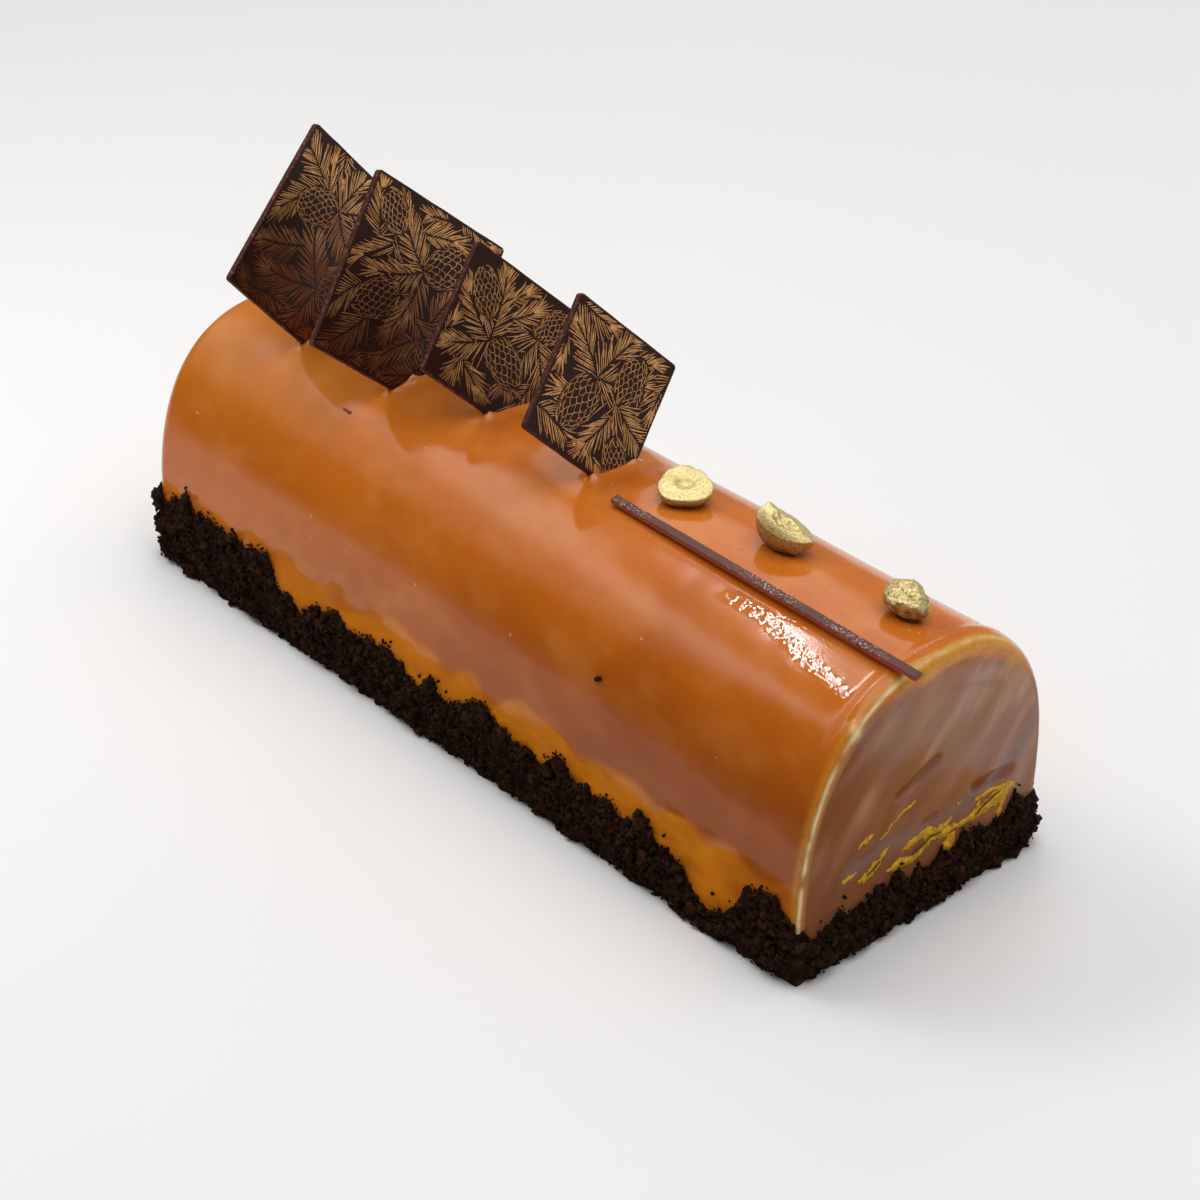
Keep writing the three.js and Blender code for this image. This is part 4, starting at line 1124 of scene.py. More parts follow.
def nut_skin(nut, number):
    """Half a nut as rings from the middle of its back to the middle of its cut face. Its radius has three
    soft corners, the back is half an ellipsoid kept under the face's rim, and the face follows nut_face.
    Slow and short waves roughen both. Also returns the crease layer: painted shade under the back, round
    the first nut's dimple and in patches on the third, and the second nut's darker hollow."""
    long, wide, deep = nut["size"]
    angle = np.linspace(0, 2 * np.pi, 97)[:-1]
    back = np.linspace(0.06, np.pi / 2, 26)
    inward = np.linspace(0.975, 0.03, 34)
    reach, lap = np.concatenate((np.sin(back), inward))[:, None], angle[None]
    on_face = np.concatenate((np.zeros(len(back)), np.ones(len(inward))))[:, None]
    lobe = 1 + nut["corners"] * np.cos(3 * lap) * reach
    x = long / 2 * reach * lobe * np.cos(lap)
    y = wide / 2 * reach * lobe * np.sin(lap)
    lip = NUT_LIP * np.clip((reach - 0.93) / 0.07, 0, 1) ** 2
    shell = -deep * np.cos(np.concatenate((back, np.full(len(inward), np.pi / 2))))[:, None] - NUT_LIP
    shell = np.minimum(shell, nut_face(number, 0.97, lap) - 0.15)
    face = nut_face(number, reach, lap) - lip
    z = np.where(on_face > 0, face, shell)
    points = np.stack((x, y, z), -1)
    rough = 0.16 * waves(points, 4.5, 50 + number) + 0.05 * waves(points, 1.8, 60 + number)
    rough = rough + 0.04 * waves(points, 1.0, 70 + number)
    if number == 3:
        rough = rough * 1.3 + 0.06 * waves(points, 0.9, 65)
    size = np.linalg.norm(points, axis=-1, keepdims=True) + 2
    points += rough[..., None] * (points + (0, 0, 2)) / size
    # Darker in the second nut's hollow: partly its bare brown inside, partly painted shade.
    hollow = np.clip(-face / 2.0 - 0.2, 0, 1) * on_face * (number == 2)
    # Painted shade under the back, darkest at its lowest point.
    back_shade = (on_face == 0) * (0.25 + 0.5 * bell(z + deep, 2.4))
    crease_and_shade = np.clip(0.8 * hollow + back_shade, 0, 1)
    # Painted shadow in a ring round the first nut's dimple.
    if number == 1:
        crease_and_shade = crease_and_shade + 0.3 * bell(reach - 0.3, 0.09) * on_face
    # Patchy painted shade over the third nut's hump.
    if number == 3:
        crease_and_shade = crease_and_shade + 0.14 + 0.18 * waves(points, 1.6, 66)
    crease_and_shade = np.clip(crease_and_shade, 0, 1)
    points, faces = closed_skin(points)
    return points, faces, np.concatenate((crease_and_shade.ravel(), [0.5, hollow[-1, 0]]))


def build_hazelnuts(settings):
    """Each half sits in the glaze, tilted and turned as it was set down."""
    material = gilded_hazelnut(settings)
    for number, nut in enumerate(HAZELNUTS, 1):
        points, faces, crease_and_shade = nut_skin(nut, number)
        x, y = nut["at"]
        z, normal_y, normal_z = glaze_height(np.array(y))
        lift = nut["size"][2] - NUT_SUNK
        place = np.array((x, y + normal_y * lift, z + normal_z * lift))
        placed = turned(points, *nut["tilt"], nut["turn"]) + place
        add_piece(
            f"gilded_half_{number}", placed, faces, material,
            [f"hazelnut_half_{number}"], layers={"crease_and_shade": crease_and_shade},
        )


# ---------------------------------------------------------------- crumbs and specks


def foot_line(share):
    """The outline of the log's foot at shares of the way round, from the far front corner along the front:
    straights and quarter rounds. Returns the points and the outward directions."""
    half_length, half_width = LENGTH / 2, WIDTH / 2
    near, far = NEAR_ROUND, FAR_ROUND
    quarter = np.linspace(0, np.pi / 2, 13)
    parts, outward = [], []
    for x, y, radius, start in (
        (half_length - near, -half_width + near, near, -np.pi / 2),
        (half_length - near, half_width - near, near, 0.0),
        (-half_length + far, half_width - far, far, np.pi / 2),
        (-half_length + far, -half_width + far, far, np.pi),
    ):
        heading = np.stack((np.cos(quarter + start), np.sin(quarter + start)), -1)
        parts.append(np.array((x, y)) + radius * heading)
        outward.append(heading)
    path, outward = np.concatenate(parts), np.concatenate(outward)
    first = parts[-1][-1:]
    path = np.concatenate((first, path))
    outward = np.concatenate((outward[-1:], outward))
    reach = np.concatenate(([0], np.cumsum(np.linalg.norm(np.diff(path, axis=0), axis=1))))
    at = np.mod(share, 1) * reach[-1]
    point = np.stack([np.interp(at, reach, path[:, i]) for i in (0, 1)], -1)
    facing = np.stack([np.interp(at, reach, outward[:, i]) for i in (0, 1)], -1)
    return point, facing / np.linalg.norm(facing, axis=-1, keepdims=True)


def border_height(share):
    """Height of the crumb border, with clumps about 12 and 5 mm long along its edge."""
    stations, heights = np.array(BORDER_HEIGHTS).T
    turn = 2 * np.pi * np.mod(share, 1)[..., None]
    radius = 102  # of a circle about as long as the foot's outline
    ring = np.concatenate((np.cos(turn), np.sin(turn), 0 * turn), -1) * radius
    clumps = 1.1 * waves(ring, 12, 71) + 0.9 * waves(ring, 4.5, 72)
    return np.maximum(np.interp(np.mod(share, 1), stations, heights, period=1) + clumps - 0.6, 4)


def border_thickness(rise):
    """How far the border stands off the log: 1.5 mm at the foot, 0.9 at the top, and fuller between."""
    return 1.5 + (0.9 - 1.5) * rise + 0.7 * np.sin(np.pi * np.clip(rise, 0, 1))


# The twelve corners of an icosahedron of radius 1, the plain form of a crumb.
ICOSAHEDRON = np.array([
    (a, b, c)
    for one in (-1, 1)
    for phi in (-(1 + 5**0.5) / 2, (1 + 5**0.5) / 2)
    for a, b, c in ((0, one, phi), (one, phi, 0), (phi, 0, one))
]) / math.hypot(1, (1 + 5**0.5) / 2)


def hull_faces(corners):
    """Outward triangles between the corners of a regular solid that are nearest each other."""
    distance = np.linalg.norm(corners[:, None] - corners[None], axis=-1)
    edge = distance[distance > 0.1].min() * 1.01
    near = distance < edge
    first, second, third = np.indices((len(corners),) * 3)
    joined = near[first, second] & near[second, third] & near[first, third]
    faces = np.argwhere(joined & (first < second) & (second < third))
    a, b, c = corners[faces].transpose(1, 0, 2)
    inward = (np.cross(b - a, c - a) * (a + b + c)).sum(1) <= 0
    faces[inward] = faces[inward][:, [0, 2, 1]]
    return faces


def lumps(places, radii, draw, roughness=0.3):
    """Many crumbs at once: the corners of an icosahedron moved in or out at random, stretched and turned."""
    count = len(places)
    corners = ICOSAHEDRON * (1 + roughness * draw.uniform(-1, 1, (count, 12, 1)))
    corners = corners * draw.uniform(0.75, 1.25, (count, 1, 3))
    corners = np.einsum("nij,nkj->nki", random_turns(count, draw), corners)
    points = places[:, None] + corners * radii[:, None, None]
    faces = hull_faces(ICOSAHEDRON)[None] + 12 * np.arange(count)[:, None, None]
    return points.reshape(-1, 3), faces.reshape(-1, 3)


def border_places(share, rise, out):
    """Points of the crumb border at shares of the way round and of its height, moved out by some mm."""
    path, outward = foot_line(share)
    z = border_height(share) * rise
    flat = path + outward * (border_thickness(rise) + out)[..., None]
    return np.concatenate((flat, z[..., None]), -1)


def crumb_bed():
    """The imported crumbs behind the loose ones: a closed band of sections carried round the foot, its outer
    side roughened by waves 3 and 1.4 mm long."""
    count = 720
    share = np.arange(count) / count
    section = [(-0.4, 0.0)] + [(None, rise) for rise in np.linspace(0, 1, 14)] + [(0.35, 1.02), (-0.4, 0.98)]
    rings = []
    for fixed, rise in section:
        path, outward = foot_line(share)
        level = np.full(count, rise)
        off = border_thickness(level) - 0.35 if fixed is None else np.full(count, fixed)
        ring = np.concatenate((path + outward * off[:, None], (border_height(share) * rise)[:, None]), -1)
        if fixed is None:
            rough = 0.35 * waves(ring, 3.0, 73) + 0.25 * waves(ring, 1.4, 74)
            ring[:, :2] += outward * np.clip(rough, -0.6, 0.9)[:, None]
        rings.append(ring)
    rings = np.stack(rings, 1)
    rings[..., 2] = np.maximum(rings[..., 2], 0)
    return rings.reshape(-1, 3), grid_faces(count, len(section), True, True)


def keep_in_box(points):
    """Draws in what would stand out of the cake's own length and width."""
    low, high = (np.array(corner) / MM for corner in CAD_BOX)
    return np.clip(points, (low[0] + 0.05, low[1] + 0.05, 0.0), (high[0] - 0.05, high[1] - 0.05, high[2]))


def build_crumbs(settings):
    """A rough bed, crumbs in clumps over it, finer crumbs between them and strays beside the border."""
    material = cocoa_crumb(settings)
    points, faces = crumb_bed()
    add_piece("crumb_bed", points, faces, material, ["crumb_border"])

    draw = np.random.default_rng(81)
    clumps, each = settings.clumps, 8
    count = clumps * each
    share = np.repeat(draw.uniform(0, 1, clumps), each) + draw.normal(0, 0.0016, count)
    rise = np.repeat(draw.beta(1.3, 0.85, clumps), each) + draw.normal(0, 0.055, count)
    radii = draw.uniform(0.34, 0.66, count) * settings.crumb_diameter / MM
    radii *= np.repeat(draw.choice((0.8, 1.0, 1.5), clumps, p=(0.4, 0.4, 0.2)), each)
    out = np.repeat(draw.uniform(-0.8, 0.7, clumps), each) + draw.uniform(-0.4, 0.4, count)
    places = border_places(share, np.clip(rise, 0.03, 1.06), out)
    places[:, 2] = np.maximum(places[:, 2], radii * 0.8)
    points, faces = lumps(places, radii, draw)
    add_piece("clumped_crumbs", keep_in_box(points), faces, material, smooth=False)

    count = settings.fine_crumbs
    share, rise = draw.uniform(0, 1, count), np.clip(draw.beta(1.2, 0.8, count) * 1.1, 0.02, 1.1)
    radii = draw.uniform(0.18, 0.42, count)
    places = border_places(share, rise, draw.uniform(-0.1, 0.5, count) * (rise < 1) - 0.9 * (rise > 1))
    places[:, 2] = np.maximum(places[:, 2], radii)
    points, faces = lumps(places, radii, draw, 0.35)
    add_piece("fine_crumbs", keep_in_box(points), faces, material, smooth=False)

    count = 240
    share = draw.uniform(0, 1, count)
    path, outward = foot_line(share)
    radii = draw.uniform(0.22, 0.6, count)
    above = border_height(share) + draw.exponential(1.6, count)
    places = np.concatenate((path + outward * (radii * 0.5)[:, None], above[:, None]), -1)
    points, faces = lumps(places[above < 25], radii[above < 25], draw, 0.35)
    add_piece("stray_crumbs", keep_in_box(points), faces, material, smooth=False)


def on_glaze(x, y):
    """Points of the glazed surface above places on the log, and the outward normals there."""
    z, normal_y, normal_z = glaze_height(y)
    points = np.stack((x, y, z), -1)
    normal = np.stack((np.zeros_like(x), normal_y, normal_z), -1)
    relief = glaze_relief(points, LENGTH / 2, SQUARE_THICKNESS)
    return points + relief[:, None] * normal, normal


def add_dust(settings, draw):
    """Flakes of gold dust that fell on the glaze round the nuts, mostly on their near side."""
    count = 420
    nut = draw.integers(0, 3, count)
    spread = draw.normal(0, 1, (count, 2)) * np.array((14, 9))
    at = np.array([half["at"] for half in HAZELNUTS])[nut]
    x = np.clip(at[:, 0] + spread[:, 0], -20, 118)
    y = np.clip(at[:, 1] - 5 + spread[:, 1], -33, 22)
    places, normal = on_glaze(x, y)
    radii = draw.uniform(0.06, 0.16, count)
    points, faces = lumps(places + normal * radii[:, None] * 0.4, radii, draw, 0.3)
    add_piece("gold_dust", points, faces, fallen_dust(settings), smooth=False)


def add_bubbles(settings, draw):
    """Low bubbles in the glaze: the larger ones where they are listed, and fine ones anywhere."""
    count = 60
    x, y = draw.uniform(-116, 116, count), draw.uniform(-39.2, 30, count)
    x, y = np.concatenate((PIN_BUBBLES, np.c_[x, y])).T
    places, normal = on_glaze(x, y)
    radii = np.concatenate((np.full(len(PIN_BUBBLES), 0.42), draw.uniform(0.14, 0.26, count)))
    points, faces = lumps(places - normal * radii[:, None] * 0.35, radii, draw, 0.1)
    add_piece("glaze_bubbles", points, faces, glaze_bubble(settings))


def add_shaving():
    """A chocolate shaving 2.8 mm long, a flat bar that curls up a little at both ends."""
    turn = np.linspace(0, 2 * np.pi, 17)[:-1]
    along = np.linspace(-1.4, 1.4, 15)
    across = 0.34 * np.sign(np.cos(turn)) * np.abs(np.cos(turn)) ** 0.5
    rise = 0.16 * np.sign(np.sin(turn)) * np.abs(np.sin(turn)) ** 0.5
    curl = 0.12 * (along / 1.4) ** 2
    shape = (len(along), len(turn))
    rings = np.stack((
        np.broadcast_to(along[:, None], shape), np.broadcast_to(across, shape), rise + curl[:, None],
    ), -1)[:, ::-1]
    points, faces = closed_skin(rings)
    (place,), (normal,) = on_glaze(*np.array(SHAVING_AT)[:, None])
    tip = math.degrees(math.atan2(-normal[1], normal[2]))
    points = turned(points, about_x=tip, about_z=-2) + place + normal * 0.15
    add_piece(
        "chocolate_shaving", points, faces, stick_chocolate(bpy.context.scene.cake_stick, "ChocolateShaving"),
        layers={"side": np.full(len(points), 0.5)},
    )


def add_fallen_crumb(draw):
    """One cocoa crumb that fell on the front of the log, as a group of five lumps."""
    (place,), (normal,) = on_glaze(*np.array(FALLEN_CRUMB_AT)[:, None])
    group = place + normal * 0.3 + draw.normal(0, 0.35, (5, 3))
    points, faces = lumps(group, draw.uniform(0.3, 0.6, 5), draw, 0.35)
    material = cocoa_crumb(bpy.context.scene.cake_crumbs, "FallenCrumb")
    add_piece("fallen_crumb", points, faces, material, smooth=False)


def build_specks(settings):
    """What lies on the glaze: gold dust, bubbles, a chocolate shaving and a crumb."""
    draw = np.random.default_rng(91)
    add_dust(settings, draw)
    add_bubbles(settings, draw)
    add_shaving()
    add_fallen_crumb(draw)


# ---------------------------------------------------------------- stage


def looking(place, aim, spin):
    """The placing, in metres, of a lamp or camera that looks at its aim, spun about that line by degrees."""
    back = np.array(place) - np.array(aim)
    back /= np.linalg.norm(back)
    right = np.cross((0, 0, 1), back)
    right /= np.linalg.norm(right)
    top = np.cross(back, right)
    turn = math.radians(spin)
    right, top = right * math.cos(turn) + top * math.sin(turn), top * math.cos(turn) - right * math.sin(turn)
    return Matrix([[right[i], top[i], back[i], place[i]] for i in range(3)]).to_4x4()


def add_softbox(name, place, aim, size, power, spin=0.0, mirrored=True, lighting=True):
    """A rectangular soft light at a place in metres, turned to its aim and spun in its own plane. It can be
    kept out of the gloss, or be seen only there."""
    light = bpy.data.lights.new(name, "AREA")
    light.shape = "RECTANGLE"
    light.size, light.size_y = size
    light.energy = power
    lamp = bpy.data.objects.new(name, light)
    lamp.visible_glossy = mirrored
    lamp.visible_diffuse = lighting
    bpy.context.scene.collection.objects.link(lamp)
    lamp.matrix_world = looking(place, aim, spin)


def add_surround(settings):
    """The room's own light, by direction: dim, and brighter towards the back right; a tall soft window to
    the left, brightest under its upper edge; and a pale patch of wall behind on the left."""
    world = bpy.data.worlds.new("Surround")
    world.use_nodes = True
    tree = world.node_tree
    tree.nodes.clear()
    look = add_node(tree, "ShaderNodeTexCoord").outputs["Generated"]
    parts = add_node(tree, "ShaderNodeSeparateXYZ", {0: look})

    leftward = add_node(tree, "ShaderNodeMath", {0: parts.outputs[0], 1: -1.0}, operation="MULTIPLY")
    inputs = {0: leftward.outputs[0], 1: 0.05}
    leftward = add_node(tree, "ShaderNodeMath", inputs, operation="MAXIMUM").outputs[0]
    slope, toward = {}, {}
    for name, part in (("rise", 2), ("aside", 1)):
        inputs = {0: parts.outputs[part], 1: leftward}
        slope[name] = add_node(tree, "ShaderNodeMath", inputs, operation="DIVIDE").outputs[0]
    for name, direction in (("room", (0.45, 0.60, 0.66)), ("patch", (-0.567, 0.547, 0.616))):
        cosine = add_node(tree, "ShaderNodeVectorMath", {0: look, 1: direction}, operation="DOT_PRODUCT")
        toward[name] = cosine.outputs["Value"]

    part_of = {}
    for name, value, low, high, start, end in (
        ("pane", slope["rise"], 0.3, 0.8, 0.0, 0.9),
        ("upper pane", slope["rise"], 0.85, 1.1, 0.0, 2.0),
        ("upper edge", slope["rise"], 1.2, 1.25, 1.0, 0.0),
        ("left edge", slope["aside"], -1.25, -1.0, 0.0, 1.0),
        ("right edge", slope["aside"], -0.15, 0.45, 1.0, 0.0),
        ("room", toward["room"], -0.3, 0.6, settings.room_low, settings.room_high),
        ("patch", toward["patch"], 0.955, 0.993, 0.0, 1.5),
    ):
        inputs = {0: value, 1: low, 2: high, 3: start, 4: end}
        smooth = add_node(tree, "ShaderNodeMapRange", inputs, interpolation_type="SMOOTHSTEP")
        part_of[name] = smooth.outputs[0]

    light = part_of["pane"]
    for operation, other in (
        ("ADD", part_of["upper pane"]),
        ("MULTIPLY", part_of["upper edge"]),
        ("MULTIPLY", part_of["left edge"]),
        ("MULTIPLY", part_of["right edge"]),
        ("MULTIPLY", settings.window_strength),
        ("ADD", part_of["room"]),
        ("ADD", part_of["patch"]),
    ):
        light = add_node(tree, "ShaderNodeMath", {0: light, 1: other}, operation=operation).outputs[0]
    sky = add_node(tree, "ShaderNodeBackground", {"Color": settings.surround_colour, "Strength": light})
    add_node(tree, "ShaderNodeOutputWorld", {"Surface": sky.outputs[0]})
    bpy.context.scene.world = world


def add_card(name, points, faces, colours):
    """A card of the stage that is seen only in gloss, as flags and bounce cards are used in a studio. Its
    colour runs from the first to the second between the floor and 30 mm above it."""
    mesh = bpy.data.meshes.new(name)
    mesh.from_pydata(points, [], faces)
    finish = {"Roughness": 1.0, "Specular IOR Level": 0.0}
    board, tree, shader, place = new_material(name.title().replace("_", ""), finish)
    height = add_node(tree, "ShaderNodeSeparateXYZ", {0: place}).outputs[2]
    inputs = {0: height, 1: 0.002, 2: 0.030}
    up = add_node(tree, "ShaderNodeMapRange", inputs, interpolation_type="SMOOTHSTEP")
    inputs = {0: up.outputs[0], 6: linear(colours[0]), 7: linear(colours[1])}
    tone = add_node(tree, "ShaderNodeMix", inputs, data_type="RGBA")
    tree.links.new(tone.outputs[2], shader.inputs["Base Color"])
    mesh.materials.append(board)
    card = bpy.data.objects.new(name, mesh)
    card.visible_camera = card.visible_diffuse = card.visible_shadow = False
    bpy.context.scene.collection.objects.link(card)


def add_cards():
    """A folded black flag beside the cake on the camera's left, which keeps a dark band in the glaze, and
    an amber bounce card that lies along the cake's front and near end."""
    fold = ((-0.75, -0.176), (-0.11, -0.173), (0.08, -0.112))
    points = [(x, y, z) for x, y in fold for z in (0.0, 0.11)]
    add_card("black_flag", points, [(0, 1, 3, 2), (2, 3, 5, 4)], ("c8c4c0", "080808"))
    edge = ((-0.16, -0.042), (-0.16, -0.067), (0.150, -0.067), (0.210, -0.03), (0.190, 0.025), (0.150, 0.050),
            (0.124, 0.050), (0.124, -0.042))
    add_card("amber_card", [(x, y, 0.0004) for x, y in edge], [(0, 1, 2, 7), (2, 3, 4, 5, 6, 7)],
             ("d08a18", "d08a18"))


def studio_floor(settings):
    """A painted studio floor: matt and nearly white, with faint clouds a third of a metre across."""
    finish = {"Roughness": 0.9, "Specular IOR Level": 0.0}
    material, tree, shader, place = new_material("PaleStudioFloor", finish)
    inputs = {"Vector": place, "Scale": per_metre(1000 / 3), "Detail": 2.0}
    tone = add_node(tree, "ShaderNodeTexNoise", inputs)
    inputs = {0: tone.outputs[0], 6: settings.floor_colour, 7: settings.floor_shade}
    pale = add_node(tree, "ShaderNodeMix", inputs, data_type="RGBA")
    tree.links.new(pale.outputs[2], shader.inputs["Base Color"])
    return material


def add_floor(settings):
    """The floor that the cake stands on, a hair below it."""
    mesh = bpy.data.meshes.new("studio_floor")
    reach, level = 12.0, -2e-5
    corners = [(x * reach, y * reach, level) for x, y in ((-1, -1), (1, -1), (1, 1), (-1, 1))]
    mesh.from_pydata(corners, [], [(0, 1, 2, 3)])
    mesh.materials.append(studio_floor(settings))
    floor = bpy.data.objects.new("studio_floor", mesh)
    bpy.context.scene.collection.objects.link(floor)


def add_lights(settings):
    """A broad box overhead, a small one that lights the far end, and two tubes seen only in the gloss."""
    middle, tube = (0.095, -0.017, 0.067), settings.tube_power
    add_softbox("overhead_box", (0.20, 0.22, 2.00), (0.05, 0.1, 0), (2.0, 2.2), settings.overhead_power)
    add_softbox(
        "far_end_box", (-0.26, -0.17, 0.40), (-0.10, 0, 0.06), (0.16, 0.16), settings.far_end_power,
        mirrored=False,
    )
    add_softbox("ceiling_tube", (-0.715, -0.06, 1.274), middle, (0.77, 0.022), tube, 6.5, lighting=False)
    add_softbox("short_tube", (-0.795, 0.517, 1.274), middle, (0.18, 0.06), tube * 0.26, 20, lighting=False)


def add_camera():
    """The camera, above the near front corner."""
    camera_data = bpy.data.cameras.new("camera")
    camera_data.lens = CAMERA_LENS
    camera_data.sensor_width = 36.0
    camera_data.clip_start = 0.01
    camera = bpy.data.objects.new("camera", camera_data)
    bpy.context.scene.collection.objects.link(camera)
    camera.matrix_world = looking(np.array(CAMERA_AT) * MM, np.array(CAMERA_AIM) * MM, CAMERA_ROLL)
    bpy.context.scene.camera = camera


def build_stage(settings):
    """A pale floor, the room's light, a black flag and an amber card, soft boxes, tubes and the camera."""
    add_floor(settings)
    add_surround(settings)
    add_cards()
    add_lights(settings)
    add_camera()
    bpy.context.scene.view_settings.view_transform = "Standard"


# ---------------------------------------------------------------- settings


def length_setting(name, description, millimetres):
    """A length that the user can change, shown in the scene's own unit."""
    return bpy.props.FloatProperty(
        name=name, description=description, default=millimetres * MM, unit="LENGTH", precision=4
    )


def colour_setting(name, description, value):
    """A colour that the user can change, from its sRGB hex value."""
    return bpy.props.FloatVectorProperty(
        name=name, description=description, default=linear(value), subtype="COLOR", size=4, min=0, max=1
    )


def factor_setting(name, description, value):
    """A share from 0 to 1 that the user can change."""
    return bpy.props.FloatProperty(
        name=name, description=description, default=value, subtype="FACTOR", min=0, max=1
    )


def strength_setting(name, description, value, unit="NONE"):
    """A strength of light that the user can change, in watts where the unit is power."""
    return bpy.props.FloatProperty(name=name, description=description, default=value, unit=unit, min=0)


class LogSettings(bpy.types.PropertyGroup):
    """Sizes and colours of the glazed log and of what shows through its glaze"""

    length: length_setting("Length", "Length of the log", LENGTH)
    width: length_setting("Width", "Width of the mould at its foot", WIDTH)
    height: length_setting("Height", "Height of the ridge", HEIGHT)
    gloss_roughness: factor_setting("Roughness", "Roughness of the glaze", 0.12)
    wrinkle_roughness: factor_setting("Wrinkled roughness", "Roughness where the skin wrinkled", 0.05)
    end_roughness: factor_setting("End roughness", "Roughness of the near face", 0.2)
    glaze_colour: colour_setting("Glaze", "Caramel glaze of middling depth", "ce6e1e")
    # Thick glaze, and painted shade low towards the near end.
    thick_and_shade_colour: colour_setting("Thick glaze", "Caramel glaze where it is thick, and painted shade towards the near end", "9d4b0e")
    thin_colour: colour_setting("Thin glaze", "Caramel glaze towards the far end, where it is thin", "cb7522")
    # A painted reflection of a gold board above the foot.
    board_reflection_colour: colour_setting("Foot reflection", "Painted reflection of a gold board above the foot", "db821a")
    veil_colour: colour_setting("Veil", "Milky clouds in the glaze", "d98a44")
    end_colour: colour_setting("End glaze", "Thin coat over the mousse on the near face", "996446")
    end_low_colour: colour_setting("Low end glaze", "The same coat low on the near face", "7f4c34")
    # Painted grey reflection and shade on the near face.
    end_grey_reflection_colour: colour_setting("Grey reflection on the end", "Painted grey reflection and shade on that coat", "7f6c68")
    end_pale_colour: colour_setting("Pale end glaze", "Milky swirls in that coat", "bd9273")
    rim_colour: colour_setting("Rim", "Thin glaze round the near edge", "d8992f")
    cream_colour: colour_setting("Cream line", "Mousse showing through along the edge", "f3dea8")
    dent_colour: colour_setting("Dents", "Glaze pooled in the near face's dents", "763413")
    # Painted reflection of a gold board on the near face, with painted shade in its folds and creases.
    gold_reflection_colour: colour_setting("Gold reflection", "Custard showing low on the near face", "e3ad10")
    fold_colour: colour_setting("Custard folds", "Shade in the folds of that gold reflection", "614512")
    crease_shade_colour: colour_setting("Custard creases", "Dark creases in that gold reflection", "5c440c")
    bubble_colour: colour_setting("Bubbles", "Skin of a small bubble in the glaze", "e6ab6c")
    dust_colour: colour_setting("Gold dust", "Flakes of gold dust fallen on the glaze", "f2d08e")


class SquareSettings(bpy.types.PropertyGroup):
    """Sizes and colours of the chocolate squares and their print"""

    thickness: length_setting("Thickness", "Thickness of the chocolate squares", SQUARE_THICKNESS)
    needle_width: length_setting("Needle width", "Width of a printed pine needle", 0.26)
    chocolate_colour: colour_setting("Chocolate", "Face of the dark chocolate", "27110c")
    bloom_colour: colour_setting("Bloom", "Paler clouds in the face", "35190f")
    edge_colour: colour_setting("Edge", "Edge of a square", "482017")
    scuff_colour: colour_setting("Scuffs", "Scuffed arrises of a square", "8a5645")
    print_colour: colour_setting("Print", "Bronze-gold lustre where it took well", "f6bd7c")
    thin_print_colour: colour_setting("Thin print", "Bronze-gold lustre where it is thin", "c8874e")
    # Painted shade and a painted reflection of the darker glaze, low on each square.
    shaded_print_colour: colour_setting("Shaded print", "Bronze-gold lustre in painted shade and reflection", "8a4a22")


class StickSettings(bpy.types.PropertyGroup):
    """Sizes and colours of the chocolate stick"""

    length: length_setting("Length", "Length of the stick", 97)
    width: length_setting("Width", "Width of the stick", 2.7)
    thickness: length_setting("Thickness", "Thickness of the stick", 1.1)
    top_colour: colour_setting("Top", "Top of the stick", "5a2c24")
    side_colour: colour_setting("Sides", "Cut sides of the stick", "a84a32")
    # Partly the grit's own colour, partly painted glints.
    grit_and_glint_colour: colour_setting("Grit", "Sugary grit on the stick, partly painted glints", "cdb2aa")


class HazelnutSettings(bpy.types.PropertyGroup):
    """Colours of the gilded hazelnut halves"""

    gold_colour: colour_setting("Gold dust", "Gold dust where it lies thick", "e2d092")
    # Creases that the brush missed, and painted shade.
    crease_shade_colour: colour_setting("Creases", "Creases that the brush missed, and painted shade", "74581a")


class CrumbSettings(bpy.types.PropertyGroup):
    """Size, number and colours of the crumbs"""

    crumb_diameter: length_setting("Crumb", "Diameter of a middling crumb", 1.45)
    clumps: bpy.props.IntProperty(name="Clumps", description="Number of clumps of crumbs", default=1050)
    fine_crumbs: bpy.props.IntProperty(name="Fine crumbs", description="Number of fine crumbs", default=8500)
    crumb_colour: colour_setting("Crumb", "Outside of a cocoa crumb", "22140b")
    # Partly the inside of broken crumbs, partly painted glints.
    broken_and_glint_colour: colour_setting("Broken crumb", "Inside of a broken crumb, and painted glints", "4c2812")


class StageSettings(bpy.types.PropertyGroup):
    """Floor, room light and lamps"""

    floor_colour: colour_setting("Floor", "Pale floor", "f5f6f8")
    floor_shade: colour_setting("Floor shade", "Faint shade in the floor", "f0f1f3")
    surround_colour: colour_setting("Surround", "Tint of the room's light", "fffaf2")
    room_low: strength_setting("Dark side", "Room light at the front left", 0.03)
    room_high: strength_setting("Light side", "Room light at the back right", 0.35)
    window_strength: strength_setting("Window", "Strength of the window", 1.25)
    overhead_power: strength_setting("Overhead", "Power of the overhead box", 27.0, "POWER")
    far_end_power: strength_setting("Far end", "Power of the box at the far end", 0.42, "POWER")
    tube_power: strength_setting("Tube", "Power of the ceiling tube", 3.4, "POWER")


GROUPS = {
    "cake_log": LogSettings,
    "cake_squares": SquareSettings,
    "cake_stick": StickSettings,
    "cake_hazelnuts": HazelnutSettings,
    "cake_crumbs": CrumbSettings,
    "cake_stage": StageSettings,
}


# ---------------------------------------------------------------- operators and panel


class CAKE_OT_glazed_log(bpy.types.Operator):
    """Builds the mousse log under its caramel mirror glaze"""

    bl_idname = "cake.glazed_log"
    bl_label = "Glazed log"

    def execute(self, context):
        build_log(context.scene.cake_log)
        return {"FINISHED"}


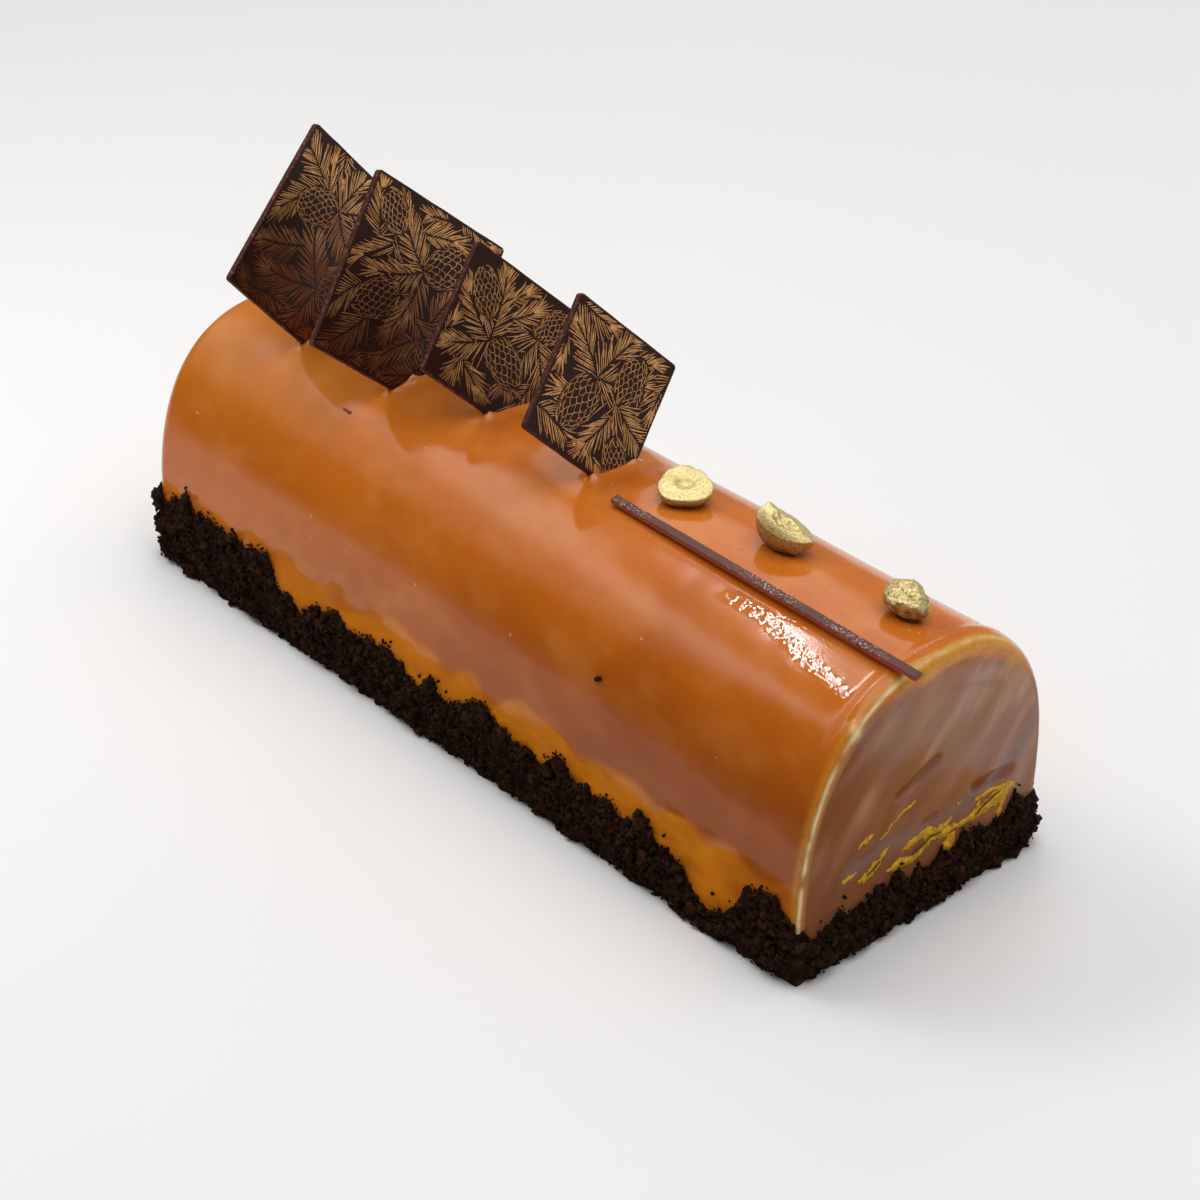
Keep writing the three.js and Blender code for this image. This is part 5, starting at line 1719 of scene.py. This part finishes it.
class CAKE_OT_painted_gold_reflections(bpy.types.Operator):
    """Builds the painted reflections of a gold board low on the near face"""

    bl_idname = "cake.custard_streaks"
    bl_label = "Custard streaks"

    def execute(self, context):
        build_streaks(context.scene.cake_log)
        return {"FINISHED"}


class CAKE_OT_printed_squares(bpy.types.Operator):
    """Builds the four chocolate squares and their gold print"""

    bl_idname = "cake.printed_squares"
    bl_label = "Printed squares"

    def execute(self, context):
        build_squares(context.scene.cake_squares)
        return {"FINISHED"}


class CAKE_OT_chocolate_stick(bpy.types.Operator):
    """Builds the chocolate stick beside the ridge"""

    bl_idname = "cake.chocolate_stick"
    bl_label = "Chocolate stick"

    def execute(self, context):
        build_stick(context.scene.cake_stick)
        return {"FINISHED"}


class CAKE_OT_hazelnut_halves(bpy.types.Operator):
    """Builds the three gilded hazelnut halves"""

    bl_idname = "cake.hazelnut_halves"
    bl_label = "Hazelnut halves"

    def execute(self, context):
        build_hazelnuts(context.scene.cake_hazelnuts)
        return {"FINISHED"}


class CAKE_OT_crumb_border(bpy.types.Operator):
    """Builds the border of cocoa cake crumbs"""

    bl_idname = "cake.crumb_border"
    bl_label = "Crumb border"

    def execute(self, context):
        build_crumbs(context.scene.cake_crumbs)
        return {"FINISHED"}


class CAKE_OT_glaze_specks(bpy.types.Operator):
    """Builds the gold dust, bubbles, shaving and crumb that lie on the glaze"""

    bl_idname = "cake.glaze_specks"
    bl_label = "Specks on the glaze"

    def execute(self, context):
        build_specks(context.scene.cake_log)
        return {"FINISHED"}


class CAKE_OT_studio_stage(bpy.types.Operator):
    """Builds the floor, the lights and the camera"""

    bl_idname = "cake.studio_stage"
    bl_label = "Studio stage"

    def execute(self, context):
        build_stage(context.scene.cake_stage)
        return {"FINISHED"}


OPERATORS = (
    CAKE_OT_glazed_log,
    CAKE_OT_painted_gold_reflections,
    CAKE_OT_printed_squares,
    CAKE_OT_chocolate_stick,
    CAKE_OT_hazelnut_halves,
    CAKE_OT_crumb_border,
    CAKE_OT_glaze_specks,
    CAKE_OT_studio_stage,
)


class VIEW3D_PT_yule_log(bpy.types.Panel):
    """Lists the cake's pieces and their settings"""

    bl_label = "Yule log cake"
    bl_idname = "VIEW3D_PT_yule_log"
    bl_space_type = "VIEW_3D"
    bl_region_type = "UI"
    bl_category = "Yule log"

    def draw(self, context):
        for group_name, group in GROUPS.items():
            box = self.layout.box()
            for setting in group.__annotations__:
                box.prop(getattr(context.scene, group_name), setting)
        for operator in OPERATORS:
            self.layout.operator(operator.bl_idname)


CLASSES = (*GROUPS.values(), *OPERATORS, VIEW3D_PT_yule_log)


def register():
    """Registers the classes and hangs each group of settings on the scene."""
    for cls in CLASSES:
        bpy.utils.register_class(cls)
    for name, group in GROUPS.items():
        setattr(bpy.types.Scene, name, bpy.props.PointerProperty(type=group))


def unregister():
    """Takes the settings off the scene and the classes out again."""
    for name in GROUPS:
        delattr(bpy.types.Scene, name)
    for cls in reversed(CLASSES):
        bpy.utils.unregister_class(cls)


def main():
    register()
    for operator in OPERATORS:
        group, name = operator.bl_idname.split(".")
        getattr(getattr(bpy.ops, group), name)()


if __name__ == "__main__":
    main()
